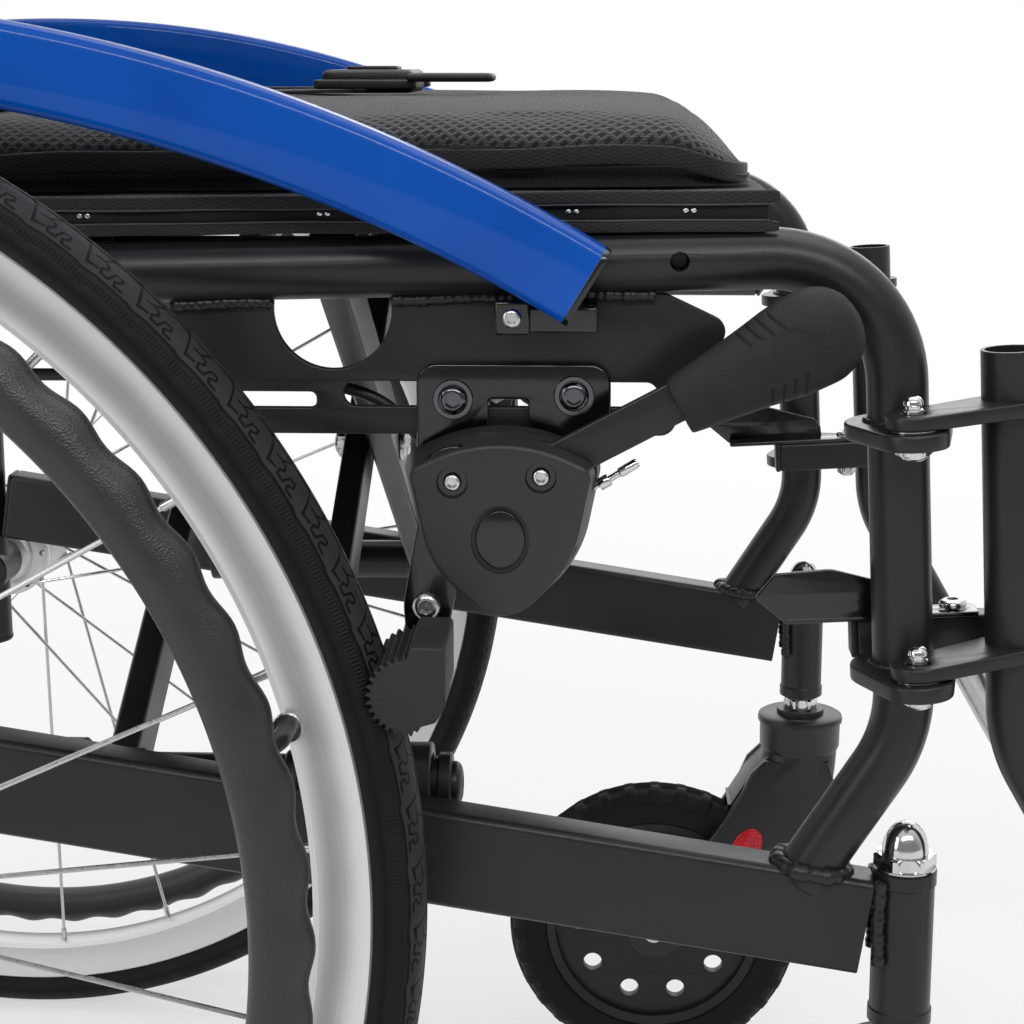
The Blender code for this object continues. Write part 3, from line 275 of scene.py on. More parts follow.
def collarOf(inner, outer, start, end, cut):
    # a sleeve's (radius, height) pairs, with the same chamfer at both ends
    return [
        (inner, start), (outer - cut, start), (outer, start + cut), (outer, end - cut),
        (outer - cut, end), (inner, end),
    ]


def insetOutline(outline, inset):
    # each corner moves by the inset along the sum of its
    # edges' inward normals over half that sum's square
    ahead = unit(np.roll(outline, -1, 0) - outline)
    normal = np.stack([-ahead[:, 1], ahead[:, 0]], 1)
    both = normal + np.roll(normal, 1, 0)
    return outline + inset * both / np.maximum((both**2).sum(1, keepdims=True) / 2, 0.35)


def turned(outline, anticlockwise=True):
    # an outline in the asked sense, from the sign of its area
    nextPoint = np.roll(outline, -1, 0)
    area = (outline[:, 0] * nextPoint[:, 1] - nextPoint[:, 0] * outline[:, 1]).sum()
    return outline if (area > 0) == anticlockwise else outline[::-1]


def plateShell(outlines, low, high, edge=0.6 * mm, steps=3, draft=0.0):
    # closed outlines (the first outside, the rest holes) from low to high; the
    # rim is a quarter round at both faces, and a draft draws the high face in
    t = np.linspace(0, math.pi / 2, steps + 1)
    inset = np.concatenate([edge * (1 - np.sin(t)), draft + edge * (1 - np.sin(t[::-1]))])
    level = np.concatenate([low + edge * (1 - np.cos(t)), high - edge * (1 - np.cos(t[::-1]))])
    points, quads, others, uv, start = [], [], [], [], 0
    firstRings, lastRings, firstIndex, lastIndex = [], [], [], []
    for k, outline in enumerate(outlines):
        outline = turned(np.asarray(outline, float), k == 0)
        insets = inset if k == 0 else inset - np.where(inset > edge, draft, 0)
        rings = np.stack([insetOutline(outline, i) for i in insets])
        grid = np.concatenate([rings, np.broadcast_to(level[:, None, None], (*rings.shape[:2], 1))], 2)
        wall = gridShell(grid, closeColumns=True)
        points.append(wall["points"])
        quads.append(wall["quads"] + start)
        uv.append(wall["uv"])
        count = len(outline)
        firstRings.append([Vector((*p, 0)) for p in rings[0]])
        lastRings.append([Vector((*p, 0)) for p in rings[-1]])
        firstIndex += list(range(start, start + count))
        lastIndex += list(range(start + (len(level) - 1) * count, start + len(level) * count))
        start += grid.shape[0] * count
    for rings, index in ((firstRings, firstIndex), (lastRings, lastIndex)):
        others += [[index[i] for i in face] for face in tessellate_polygon(rings)]
    uv.append(np.zeros((3 * len(others), 2)))
    return shellOf(np.concatenate(points), np.concatenate(quads), others, np.concatenate(uv))


def placed(shell, origin=(0, 0, 0), a=(1, 0, 0), b=(0, 0, 1), h=(0, 1, 0)):
    # plate coordinates to places: origin + first a + second
    # b + height h; the side plane is the usual one
    return {**shell, "points": np.array(origin) + shell["points"] @ np.array([a, b, h], float)}


def sidePlate(outlines, low, high, **rim):
    # a plate square to y; its outlines are (x, z)
    return placed(plateShell(outlines, low, high, **rim))


def lyingPlate(outlines, low, high, **rim):
    # a plate square to z; its outlines are (x, y)
    return placed(plateShell(outlines, low, high, **rim), b=(0, 1, 0), h=(0, 0, 1))


def leaning(u, y, w):
    # a place by the leg rest hinge: u forwards and w up its leaning axis
    lean = layout["lean"]
    x = layout["hinge"][0] + u * math.cos(lean) - w * math.sin(lean)
    return np.array((x, y, layout["hinge"][1] + u * math.sin(lean) + w * math.cos(lean)))


leanAxis = np.array((-math.sin(layout["lean"]), 0, math.cos(layout["lean"])))
leanAhead = np.array((math.cos(layout["lean"]), 0, math.sin(layout["lean"])))


def leaningPlate(outlines, low, high, **rim):
    # a plate square to the leaning hinge axis; its outlines are (u, y)
    return placed(
        plateShell(outlines, low, high, **rim), leaning(0, 0, 0), leanAhead, (0, 1, 0), leanAxis
    )


def block(low, high, edge=0.8 * mm):
    # a box with rounded rims between two corners
    outline = roundBox((low[0], high[0]), (low[2], high[2]), edge, 3)
    return sidePlate([outline], low[1], high[1], edge=edge)


def hexReach(steps, apothem):
    # distance from the middle to a hexagon's edge at each
    # angle: apothem / cos(angle from the nearest flat)
    a = angles(steps)
    return (apothem / np.cos((a + math.pi / 6) % (math.pi / 3) - math.pi / 6))[:, None]


def socketScrew(centre, axis, radius, height, socket):
    # a domed head with a hexagonal hole: rings from the
    # foot over the dome, then down the hole to its floor
    steps = 48
    t = np.linspace(0, math.pi / 2, 7)[None, :-1]
    rim = socket * 1.22
    dome = rim + (radius - rim) * np.cos(t)
    hexagon = hexReach(steps, socket)
    ones = np.ones((steps, 1))
    r = np.concatenate(
        [0 * ones, ones * radius, ones * dome, ones * rim, hexagon * 1.02, hexagon, 0 * ones], 1
    )
    foot = 0.3 * height
    z = [
        0, 0, *(foot + (height - foot) * np.sin(t[0])), height, height - 0.1 * mm, 0.35 * height,
        0.35 * height
    ]
    return turnShell(r, np.array(z), centre, axis, steps)


def hexNut(centre, axis, apothem, height, dome=0.0):
    # six flats whose corners are cut by a chamfer at both faces, with an optional dome on top
    steps = 72
    flats = hexReach(steps, apothem)
    cut = np.minimum(flats, apothem * 1.02)
    ones = np.ones((steps, 1))
    top = [apothem * 0.9 * ones, 0 * ones] if not dome else [
        apothem * 0.86 * ones * np.cos(t) for t in np.linspace(0, math.pi / 2, 9)
    ]
    lift = [0, 0] if not dome else list(dome * np.sin(np.linspace(0, math.pi / 2, 9)))
    r = np.concatenate([0 * ones, cut, flats, flats, cut, *top], 1)
    z = np.array([0, 0, 0.1 * height, 0.9 * height, height, *(height + np.array(lift))])
    return turnShell(r, z, centre, axis, steps)


def bead(path, radius, pitch=3.2 * mm, across=(0, 1, 0)):
    # a weld: a small tube whose radius ripples once for each step the welder made
    path = resample(np.asarray(path, float), pitch / 6)
    run = np.arange(len(path)) * pitch / 6
    wobble = 0.08 * np.sin(2 * math.pi * run / (2.7 * pitch))
    ripple = 1 + 0.07 * np.cos(2 * math.pi * run / pitch) + wobble
    return tubeShell(path, radius * ripple, 14, ("round", "round"), across)


# Finishes: each starts from the real material and how its surface was made

def srgb(colour):
    # hex to linear: v / 12.92 below 0.04045, else ((v + 0.055) / 1.055) to the power 2.4
    v = np.array([int(colour[i:i + 2], 16) / 255 for i in (1, 3, 5)])
    return (*np.where(v <= 0.04045, v / 12.92, ((v + 0.055) / 1.055) ** 2.4).tolist(), 1.0)


def addNode(tree, kind, inputs=None, **settings):
    # one node with its own settings; an input is a value, or the socket that feeds it
    node = tree.nodes.new(kind)
    for key, value in settings.items():
        setattr(node, key, value)
    for key, value in (inputs or {}).items():
        if isinstance(value, bpy.types.NodeSocket):
            tree.links.new(value, node.inputs[key])
        else:
            node.inputs[key].default_value = value
    return node


def maths(tree, kind, *values):
    # one step of arithmetic on values or sockets
    return addNode(tree, "ShaderNodeMath", dict(enumerate(values)), operation=kind).outputs[0]


def vectors(tree, kind, *values, output="Vector"):
    # the same on vectors; a length or a dot product comes out as Value
    return addNode(
        tree, "ShaderNodeVectorMath", dict(enumerate(values)), operation=kind
    ).outputs[output]


def rescale(tree, value, start, end, low=0.0, high=1.0, **settings):
    # a value carried from one range to another
    return addNode(tree, "ShaderNodeMapRange", {
        "Value": value, "From Min": start, "From Max": end, "To Min": low, "To Max": high,
    }, **settings).outputs[0]


def noise(tree, place, sizeMm, detail, output=0):
    # smooth noise whose features are about sizeMm across
    node = addNode(
        tree, "ShaderNodeTexNoise", {"Vector": place, "Scale": 1000 / sizeMm, "Detail": detail}
    )
    return node.outputs[output]


def cells(tree, place, sizeMm, inputs=None, **settings):
    # a cell pattern: the distance to the nearest cell's middle, or to the edge between two cells
    inputs = {"Vector": place, "Scale": 1000 / sizeMm, **(inputs or {})}
    return addNode(tree, "ShaderNodeTexVoronoi", inputs, **settings).outputs["Distance"]


def objectPlace(tree):
    # the place in the object's own coordinates
    return addNode(tree, "ShaderNodeTexCoord").outputs["Object"]


def newFinish(name, colour, roughness, metallic=0.0, sockets=None):
    # a material with its plain values, before anything is drawn in it
    material = bpy.data.materials.new(name)
    material.use_nodes = True
    tree = material.node_tree
    shader = tree.nodes["Principled BSDF"]
    plain = {
        "Base Color": srgb(colour), "Roughness": roughness, "Metallic": metallic, **(sockets or {})
    }
    for key, value in plain.items():
        shader.inputs[key].default_value = value
    return material, tree, shader


def reflecting(level, coat=0.0, coatRoughness=0.03):
    # how strongly a surface mirrors, and the clear coat over it
    return {"Specular IOR Level": level, "Coat Weight": coat, "Coat Roughness": coatRoughness}


def blend(tree, share, low, high):
    # a colour between two, each a hex word or a socket
    low, high = (srgb(colour) if isinstance(colour, str) else colour for colour in (low, high))
    return addNode(tree, "ShaderNodeMix", {0: share, 6: low, 7: high}, data_type="RGBA").outputs[2]


def tint(tree, shader, share, low, high):
    # the surface's colour, between two tones by a share
    tree.links.new(blend(tree, share, low, high), shader.inputs["Base Color"])


def emboss(tree, shader, height, distance, under=None):
    # relief from a height, laid over another relief where there is one
    inputs = {"Height": height, "Distance": distance}
    if under:
        inputs["Normal"] = under
    normal = addNode(tree, "ShaderNodeBump", inputs).outputs[0]
    tree.links.new(normal, shader.inputs["Normal"])
    return normal


def addMottle(tree, shader, grainMm, bumpMm, roughness, colours=None, patchMm=45):
    # fine grain moves the surface and its gloss; wide soft
    # patches shift the colour between two near tones
    place = objectPlace(tree)
    grain, patch = noise(tree, place, grainMm, 3.0), noise(tree, place, patchMm, 5.0)
    gloss = rescale(tree, maths(tree, "ADD", grain, patch), 0.7, 1.3, *roughness)
    tree.links.new(gloss, shader.inputs["Roughness"])
    if colours:
        tint(tree, shader, rescale(tree, patch, 0.35, 0.65), *colours)
    return place, emboss(tree, shader, grain, bumpMm * mm)


def mottled(name, colours, grainMm, bumpMm, roughness, patchMm=45, metallic=0.0, sockets=None):
    # a finish that is nothing but grain and patches
    material, tree, shader = newFinish(name, colours[0], roughness[0], metallic, sockets)
    addMottle(tree, shader, grainMm, bumpMm, roughness, colours, patchMm)
    return material


def brightPlate(name, colours, roughness):
    # plated or polished steel: bright, with faint rub marks in its gloss
    return mottled(name, colours, 2.2, 0.01, roughness, 12, 1.0)


def mouldedPlastic(name, colours, grainMm, bumpMm, roughness):
    # moulded nylon, foam or cord: an even fine grain from the mould with a dull sheen
    return mottled(name, colours, grainMm, bumpMm, roughness, sockets=reflecting(0.4))


treadLook = {
    "motif": 22.5 * mm,
    "edgeLine": 15.6 * mm,
    "ribBand": (19.0 * mm, 1.5 * mm),   # middle and half width of the fine ribs
    "ribPitch": 1.5 * mm,               # drawn coarser than the mould's own ribs, so that they show
    # the third tone is near black: painted shade inside the sipes and along the tread's edge line
    "tones": ("#131314", "#2c2c2d", "#030303"),   # side wall, tread blocks and sipes
    "relief": 1.3 * mm,
    "sipes": [[(u * mm, v * mm) for u, v in line] for line in (
        [(0.2, 1.0), (2.4, 2.6), (5.9, 12.6), (10.0, 12.2)],
        [(5.5, 0.8), (12.9, 1.4), (10.0, 6.8), (6.9, 7.1)],
        [(10.0, 6.8), (12.4, 7.4), (13.2, 9.6), (11.4, 11.2), (12.2, 13.2), (15.3, 13.2), (16.4, 9.0),
         (19.2, 8.6), (19.8, 10.6), (17.6, 12.2), (18.4, 13.8), (21.6, 13.8)],
        [(0.0, 0.3), (22.5, 0.3)],
    )],
}


def segmentDistance(tree, place, start, end):
    # |p - a - t (b - a)|, where t is (p - a).(b - a) / |b - a|^2 kept from 0 to 1
    along = np.subtract(end, start)
    away = vectors(tree, "SUBTRACT", place, (*start, 0))
    share = vectors(tree, "DOT_PRODUCT", away, (*(along / (along @ along)), 0), output="Value")
    kept = addNode(tree, "ShaderNodeClamp", {"Value": share}).outputs[0]
    foot = addNode(
        tree, "ShaderNodeVectorMath", {0: (*along, 0), "Scale": kept}, operation="SCALE"
    ).outputs[0]
    return vectors(tree, "LENGTH", vectors(tree, "SUBTRACT", away, foot), output="Value")


def tyreRubber():
    # moulded natural rubber: matt black with dust held in the grain, sipes over the tread painted near
    # black as the shade inside them, and fine ribs beside it; u is the distance along one motif and v
    # the distance out from the tread's middle, and the two halves of the tread are half a motif apart
    material, tree, shader = newFinish("mouldedTyreRubber", "#1c1c1d", 0.6, 0.0, reflecting(0.16))
    _, grain = addMottle(tree, shader, 0.8, 0.05, (0.48, 0.66), patchMm=30)
    calc, look = partial(maths, tree), treadLook
    run = addNode(
        tree, "ShaderNodeSeparateXYZ", {"Vector": addNode(tree, "ShaderNodeUVMap").outputs[0]}
    ).outputs
    shifted = calc(
        "ADD", run[0], calc("MULTIPLY", calc("GREATER_THAN", run[1], 0.0), look["motif"] / 2)
    )
    u, v = calc("WRAP", shifted, look["motif"], 0.0), calc("ABSOLUTE", run[1])
    here = addNode(tree, "ShaderNodeCombineXYZ", {0: u, 1: v}).outputs[0]
    nearest = calc("ABSOLUTE", calc("SUBTRACT", v, look["edgeLine"]))
    for line in look["sipes"]:
        for start, end in zip(line[:-1], line[1:]):
            nearest = calc("MINIMUM", nearest, segmentDistance(tree, here, start, end))
    sipe = rescale(tree, nearest, 0.25 * mm, 0.6 * mm, 1.0, 0.0, interpolation_type="SMOOTHSTEP")
    wave = calc("SINE", calc("MULTIPLY", run[0], 2 * math.pi / look["ribPitch"]))
    ribs = calc("MULTIPLY", wave, calc("COMPARE", v, *look["ribBand"]))
    emboss(tree, shader, calc("SUBTRACT", calc("MULTIPLY", ribs, 0.16), sipe), look["relief"], grain)
    wall, block, cut = look["tones"]
    # painted shade: the sipes and the line at the tread's edge take the near black tone; the tread
    # blocks are a lighter grey than the side wall
    tint(tree, shader, sipe, blend(tree, calc("LESS_THAN", v, look["edgeLine"]), wall, block), cut)
    return material


def brushedRim():
    # machined aluminium rim: pale, with fine rings left by the lathe tool, so that gloss runs round it
    material, tree, shader = newFinish("machinedRimAluminium", "#dedfe1", 0.34, 0.75)
    ringPitch = 0.9 * mm   # tool marks, drawn coarser than the real 0.2 mm
    centred = addNode(tree, "ShaderNodeMapping", {
        "Vector": objectPlace(tree), "Location": (-axleX, 0, -layout["axleZ"]),
    }).outputs[0]
    reach = vectors(tree, "LENGTH", vectors(tree, "MULTIPLY", centred, (1, 0, 1)), output="Value")
    rings = addNode(tree, "ShaderNodeTexNoise", {
        "W": maths(tree, "MULTIPLY", reach, 1 / ringPitch), "Scale": 1.0, "Detail": 3.0,
    }, noise_dimensions="1D").outputs[0]
    tree.links.new(rescale(tree, rings, 0.0, 1.0, 0.3, 0.46), shader.inputs["Roughness"])
    tint(tree, shader, rings, "#cfd0d2", "#e8e9ea")
    emboss(tree, shader, rings, 0.02 * mm)
    return material


def handrimCoat():
    # textured coating on the hand rim: black, with a hard sparkling grain of about 0.7 mm for grip
    material, tree, shader = newFinish("texturedHandrimCoat", "#151516", 0.42, 0.0, reflecting(0.6))
    place, grain = addMottle(tree, shader, 1.1, 0.05, (0.32, 0.5), ("#111112", "#1b1b1c"), 25)
    emboss(tree, shader, cells(tree, place, 0.75), 0.12 * mm, grain)
    return material


def grainedRubber():
    # soft grip rubber: matt, with a leather-like grain of 1.1 mm cells from the mould
    material, tree, shader = newFinish("grainedGripRubber", "#151516", 0.55, 0.0, reflecting(0.28))
    place, grain = addMottle(tree, shader, 0.5, 0.03, (0.48, 0.64), ("#161617", "#1f1f20"), 20)
    edge = rescale(tree, cells(tree, place, 1.1, feature="DISTANCE_TO_EDGE"), 0.0, 0.2)
    emboss(tree, shader, edge, 0.09 * mm, grain)
    return material


def cloth(name, colour, roughness, sheen, sheenRoughness, level):
    # fibres: little mirroring, and a soft sheen at grazing angles
    return newFinish(name, colour, roughness, 0.0, {
        "Sheen Weight": sheen, "Sheen Roughness": sheenRoughness, "Specular IOR Level": level,
    })


def weave(name, colours, threadMm, bumpMm, turn=0.0, stretch=1.0):
    # two sets of threads: the height is the product of two waves at right angles, roughened by fuzz;
    # the same height paints the hollows between threads darker, as painted shade, and their crowns
    # lighter
    material, tree, shader = cloth(name, colours[0], 0.85, 0.25, 0.45, 0.3)
    place = addNode(tree, "ShaderNodeUVMap").outputs[0]
    k = math.pi / (threadMm * mm)
    turnedPlace = addNode(tree, "ShaderNodeMapping", {
        "Vector": place, "Rotation": (0, 0, turn), "Scale": (k * stretch, k, k),
    }).outputs[0]
    axes = addNode(tree, "ShaderNodeSeparateXYZ", {"Vector": turnedPlace}).outputs
    product = maths(tree, "MULTIPLY", *(maths(tree, "SINE", axes[i]) for i in (0, 1)))
    share = maths(
        tree, "MULTIPLY", rescale(tree, product, -1.0, 1.0), noise(tree, place, threadMm * 2.2, 3.0)
    )
    # painted shade: the hollows between the threads take the darker tone, the crowns the lighter one
    tint(tree, shader, share, *colours)
    emboss(tree, shader, share, bumpMm * mm)
    return material


def netFabric(name, colours, wideMm, tallMm):
    # warp-knitted spacer mesh: diamond cells, painted near black inside as the shade in the holes,
    # between rounded yarn with fine ridges; with a = x/w + y/h and b = x/w - y/h, a place is in a cell
    # where both lie near the middle of their whole steps
    material, tree, shader = cloth(name, colours[1], 0.8, 0.25, 0.5, 0.25)
    calc = partial(maths, tree)
    # how far a cell reaches from its middle, in steps, and how soft its edge is
    cell, edge = 0.3, 0.08
    run = addNode(tree, "ShaderNodeUVMap").outputs[0]
    sway = vectors(tree, "MULTIPLY", noise(tree, run, 60, 1.0, "Color"), (9 * mm, 9 * mm, 0))
    axes = addNode(tree, "ShaderNodeSeparateXYZ", {"Vector": vectors(tree, "ADD", run, sway)}).outputs
    across, along = calc("DIVIDE", axes[0], wideMm * mm), calc("DIVIDE", axes[1], tallMm * mm)
    offsets = [
        calc("ABSOLUTE", calc("SUBTRACT", calc("FRACT", calc(kind, across, along)), 0.5))
        for kind in ("ADD", "SUBTRACT")
    ]
    far = calc("MAXIMUM", *offsets)
    yarn = rescale(tree, far, cell - edge, cell + edge, interpolation_type="SMOOTHSTEP")
    wave = calc("SINE", calc("MULTIPLY", axes[1], 2 * math.pi / (0.85 * mm)))
    lift = calc("MULTIPLY", yarn, calc("ADD", calc("MULTIPLY", wave, 0.12), 0.88))
    # painted shade: the cells' insides take the near black tone, the yarn round them the grey one
    tint(tree, shader, lift, *colours)
    emboss(tree, shader, lift, 0.8 * mm)
    return material


def reflectorRed():
    # moulded acrylic reflector: clear red with small cube-corner facets behind a smooth face; each
    # facet is painted bright red at its middle and dark red at its edges, as painted glints and shade
    material, tree, shader = newFinish(
        "redAcrylicReflector", "#b40c18", 0.15, 0.0, reflecting(0.2, 0.4)
    )
    facets = cells(tree, objectPlace(tree), 2.2, {"Randomness": 0.35})
    # painted glints and shade: bright red at each facet's middle, dark red at its edges
    tint(tree, shader, facets, "#e8202c", "#7c0a12")
    emboss(tree, shader, facets, 0.6 * mm)
    return material


# polyester powder baked on aluminium: satin black with a faint orange peel of about 1.4 mm
satin = mottled(
    "satinPowderCoat", ("#18191a", "#1e1f21"), 1.4, 0.035, (0.31, 0.4), sockets=reflecting(0.36)
)
# sprayed gloss black on the small steel plates: darker and shinier, with a slight ripple
gloss = mottled(
    "glossBlackEnamel", ("#060607", "#0b0b0c"), 3.0, 0.03, (0.13, 0.22),
    sockets=reflecting(0.45, 0.3, 0.06),
)
# clear-coated blue enamel on the arch: deep colour under a sharp reflection, with a very fine flake
blue = mottled(
    "blueClearCoatEnamel", ("#00439a", "#004ca8"), 0.7, 0.006, (0.3, 0.4), 80,
    sockets=reflecting(0.08, 0.35, 0.05),
)
tyreBlack = tyreRubber()
rimSilver = brushedRim()
rimGrip = handrimCoat()
zinc = brightPlate("brightZincPlate", ("#c9cacb", "#b4b5b7"), (0.16, 0.3))
chrome = brightPlate("polishedChrome", ("#d6d7d8", "#c0c1c3"), (0.08, 0.2))
blackOxide = brightPlate("blackOxideSteel", ("#5a5b5e", "#5a5b5e"), (0.1, 0.2))
spokeSteel = brightPlate("drawnStainlessWire", ("#bfc0c2", "#bfc0c2"), (0.22, 0.34))
nylon = mouldedPlastic("mouldedNylon", ("#131314", "#19191a"), 0.55, 0.06, (0.4, 0.52))
castNylon = mouldedPlastic("smoothCastFork", ("#1b1c1d", "#202122"), 2.0, 0.02, (0.32, 0.42))
coverNylon = mouldedPlastic("satinBrakeCover", ("#262627", "#2a2a2b"), 0.5, 0.05, (0.38, 0.46))
shoeRubber = mouldedPlastic("brakeShoeRubber", ("#1e1e20", "#262628"), 0.7, 0.08, (0.55, 0.7))
padFoam = mouldedPlastic("skinnedPadFoam", ("#141415", "#1b1b1c"), 0.9, 0.09, (0.5, 0.66))
gripSoft = grainedRubber()
# the first colour of each weave is painted shade in the hollows between its threads
canvas = weave("wovenNylonCanvas", ("#080809", "#1a1a1b"), 0.9, 0.16)
wallTwill = weave("diagonalTwillWall", ("#080809", "#19191a"), 1.1, 0.18, 0.6, 0.5)
tapeRib = weave("grosgrainTape", ("#141415", "#343436"), 0.8, 0.2, stretch=0.35)
cord = mouldedPlastic("smoothPipingCord", ("#2c2c2e", "#38383a"), 1.2, 0.01, (0.28, 0.4))
strap = weave("polyesterWebbing", ("#111112", "#29292b"), 1.2, 0.25, stretch=0.5)
red = reflectorRed()
# the first colour of each mesh is painted shade inside its cells
spacerMesh = netFabric("knittedSpacerMesh", ("#050506", "#333336"), 5.2, 4.6)
backMesh = netFabric("knittedBackMesh", ("#070708", "#2b2b2e"), 3.8, 4.2)
print("finishes made")


# Making a piece: one mesh, mirrored to its side, riding on its body

def meshOf(name, shells, side, finishes=()):
    # shells joined into one mesh: x moves to the axle, y
    # takes the side's sign, doubles merge, normals turn out
    points, faces, uv, paint, start = [], [], [], [], 0
    for shell in shells:
        points.append(shell["points"])
        faces += (shell["quads"] + start).tolist()
        faces += [[i + start for i in face] for face in shell["others"]]
        uv.append(shell["uv"])
        paint += list(shell.get("paint", [0] * len(shell["quads"]))) + [0] * len(shell["others"])
        start += len(shell["points"])
    mesh = bpy.data.meshes.new(name)
    mesh.from_pydata((np.concatenate(points) * (1, side, 1) + (axleX, 0, 0)).tolist(), [], faces)
    if finishes:
        mesh.uv_layers.new(name="run").data.foreach_set(
            "uv", np.concatenate(uv).astype(np.float32).ravel()
        )
        for finish in finishes:
            mesh.materials.append(finish)
        mesh.polygons.foreach_set("material_index", np.array(paint, dtype=np.int32))
    shape = bmesh.new()
    shape.from_mesh(mesh)
    bmesh.ops.remove_doubles(shape, verts=shape.verts, dist=1e-6)
    bmesh.ops.recalc_face_normals(shape, faces=shape.faces)
    shape.to_mesh(mesh)
    shape.free()
    return mesh


def addObject(name, data):
    # an object for a mesh, a lamp or a camera, put in the scene
    obj = bpy.data.objects.new(name, data)
    bpy.context.scene.collection.objects.link(obj)
    return obj


def shade(mesh, sharp):
    # smooth, with an edge kept where the surface turns by more than an angle in degrees
    mesh.shade_smooth()
    mesh.set_sharp_from_angle(angle=math.radians(sharp))


def makePiece(name, shells, material, body, nodes=(), slot=None, side=1, sharp=38, thickness=0.0):
    # one visible piece: its mesh and finishes, the body it rides on and the solids it stands for; the
    # slot is not used
    finishes = material if isinstance(material, list) else [material]
    mesh = meshOf(name, shells, side, finishes)
    shade(mesh, sharp)
    obj = addObject(name, mesh)
    if thickness:
        wall = obj.modifiers.new("wall", "SOLIDIFY")
        wall.thickness = thickness
        wall.offset = 0.0
    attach(obj, body)
    if nodes:
        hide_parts(*nodes)
    return obj


def sidePiece(name, shells, material, body, side, nodes=(), **finish):
    # a piece of one side: its own name, its body and its nodes end in that side's word
    word = "left" if side > 0 else "right"
    bodyName = f"{word}_frame" if body == "frame" else f"{body}_{word}"
    return makePiece(
        f"{name}_{word}", shells, material, bodyName, [f"{n}_{word}" for n in nodes], side=side,
        **finish
    )


def carve(obj, shells, side):
    # cut closed shells out of a piece, then keep the finished mesh
    cutter = addObject("cutter", meshOf("cutter", shells, side))
    cut = obj.modifiers.new("cut", "BOOLEAN")
    cut.operation = "DIFFERENCE"
    cut.solver = "EXACT"
    cut.object = cutter
    obj.data = bpy.data.meshes.new_from_object(obj.evaluated_get(bpy.context.evaluated_depsgraph_get()))
    obj.modifiers.clear()
    bpy.data.objects.remove(cutter)
    shade(obj.data, 32)


# Side frame

def seatTubeZ(x):
    # height of the seat tube's middle line: its height at
    # the axle, and its rise for each metre forwards
    return frameLook["seatTubeZ"] + frameLook["seatTubeRise"] * x


def railPoint(along, up=0.0):
    # a place in the rail's side view: along from its rear end, up from its middle line
    rear, front = np.array(layout["railRear"]), np.array(layout["railFront"])
    direction = unit(front - rear)
    return rear + direction * along + np.array((-direction[1], direction[0])) * up


railLength = float(np.linalg.norm(np.array(layout["railFront"]) - np.array(layout["railRear"])))

frameLook = {
    "seatTubeZ": 0.5211,
    "seatTubeRise": 0.0253,
    "bends": (0.048, 0.055),   # radii of the front tube's two bends
    "bendSteps": 18,
    "railCorner": 3.2 * mm,
    "housing": (0.232, 0.296),               # foot and top of the caster housing
    "sleeves": ((0.148, 0.16), (0.286, 0.3)),   # where the brace sleeves start and end
    "lugRing": 0.02,                         # radius of a hinge lug round the tube, and round its pin
    "lugEye": 0.013,
    "lugRim": 1.0 * mm,
    "weldR": 2.3 * mm,
    "sideHole": (0.3946, 0.5315, 3.6 * mm),   # x, z and radius of the hole beside the seat rivets
}


def frameTube(side):
    # the bent tube from under the seat, down the front and back into the rail, with the two hinge lugs
    y, r = layout["track"], layout["tubeR"]
    line = flatIn([layout[k] for k in ("seatRear", "topCorner", "lowCorner", "tubeFoot")], y)
    path = bend(line, frameLook["bends"], frameLook["bendSteps"])
    tube = sidePiece("frontTube", [tubeShell(path, r, 40)], satin, "frame", side, ["side_frame_tube"])
    holeX, holeZ, holeR = frameLook["sideHole"]
    carve(tube, [rod((holeX, y + 0.002, holeZ), (holeX, y + 0.02, holeZ), holeR, 40)], side)
    shells = []
    for drop in (0, layout["hingeDrop"]):
        ring = np.array((-0.0024, y))
        eye = np.array((0.0, layout["hingeY"]))
        slope = math.degrees(math.atan2(eye[1] - ring[1], eye[0] - ring[0]))
        spread = math.degrees(math.acos(
            (frameLook["lugRing"] - frameLook["lugEye"]) / np.linalg.norm(eye - ring)
        ))
        outline = np.concatenate([
            arc(ring, frameLook["lugRing"], slope + spread, slope + 360 - spread, 30),
            arc(eye, frameLook["lugEye"], slope - spread, slope + spread, 16),
        ])
        shells.append(leaningPlate([outline], -0.004 - drop, 0.0022 - drop, edge=frameLook["lugRim"]))
    for drop in (0, layout["hingeDrop"]):
        a = np.radians(np.linspace(0, 350, 60))[:, None]
        middle = leaning(-0.0024, y, 0.0024 - drop)
        ring = middle + (r + 0.3 * mm) * (np.cos(a) * leanAhead + np.sin(a) * np.array((0, 1, 0)))
        shells.append(bead(ring, 1.4 * mm, across=leanAxis))
    sidePiece("hingeLugs", shells, satin, "frame", side)
    back = turnShell(
        np.array([0, 0.6, 0.9, 1.04, 1.04, 0.85, 0.85, 0]) * r,
        np.array([-2.6, -2.4, -1.6, 0, 1.0, 1.0, 8, 8]) * mm,
        (layout["seatRear"][0], y, layout["seatRear"][1]), (1, 0, frameLook["seatTubeRise"]), 36,
    )
    sidePiece("seatTubeCap", [back], nylon, "frame", side)


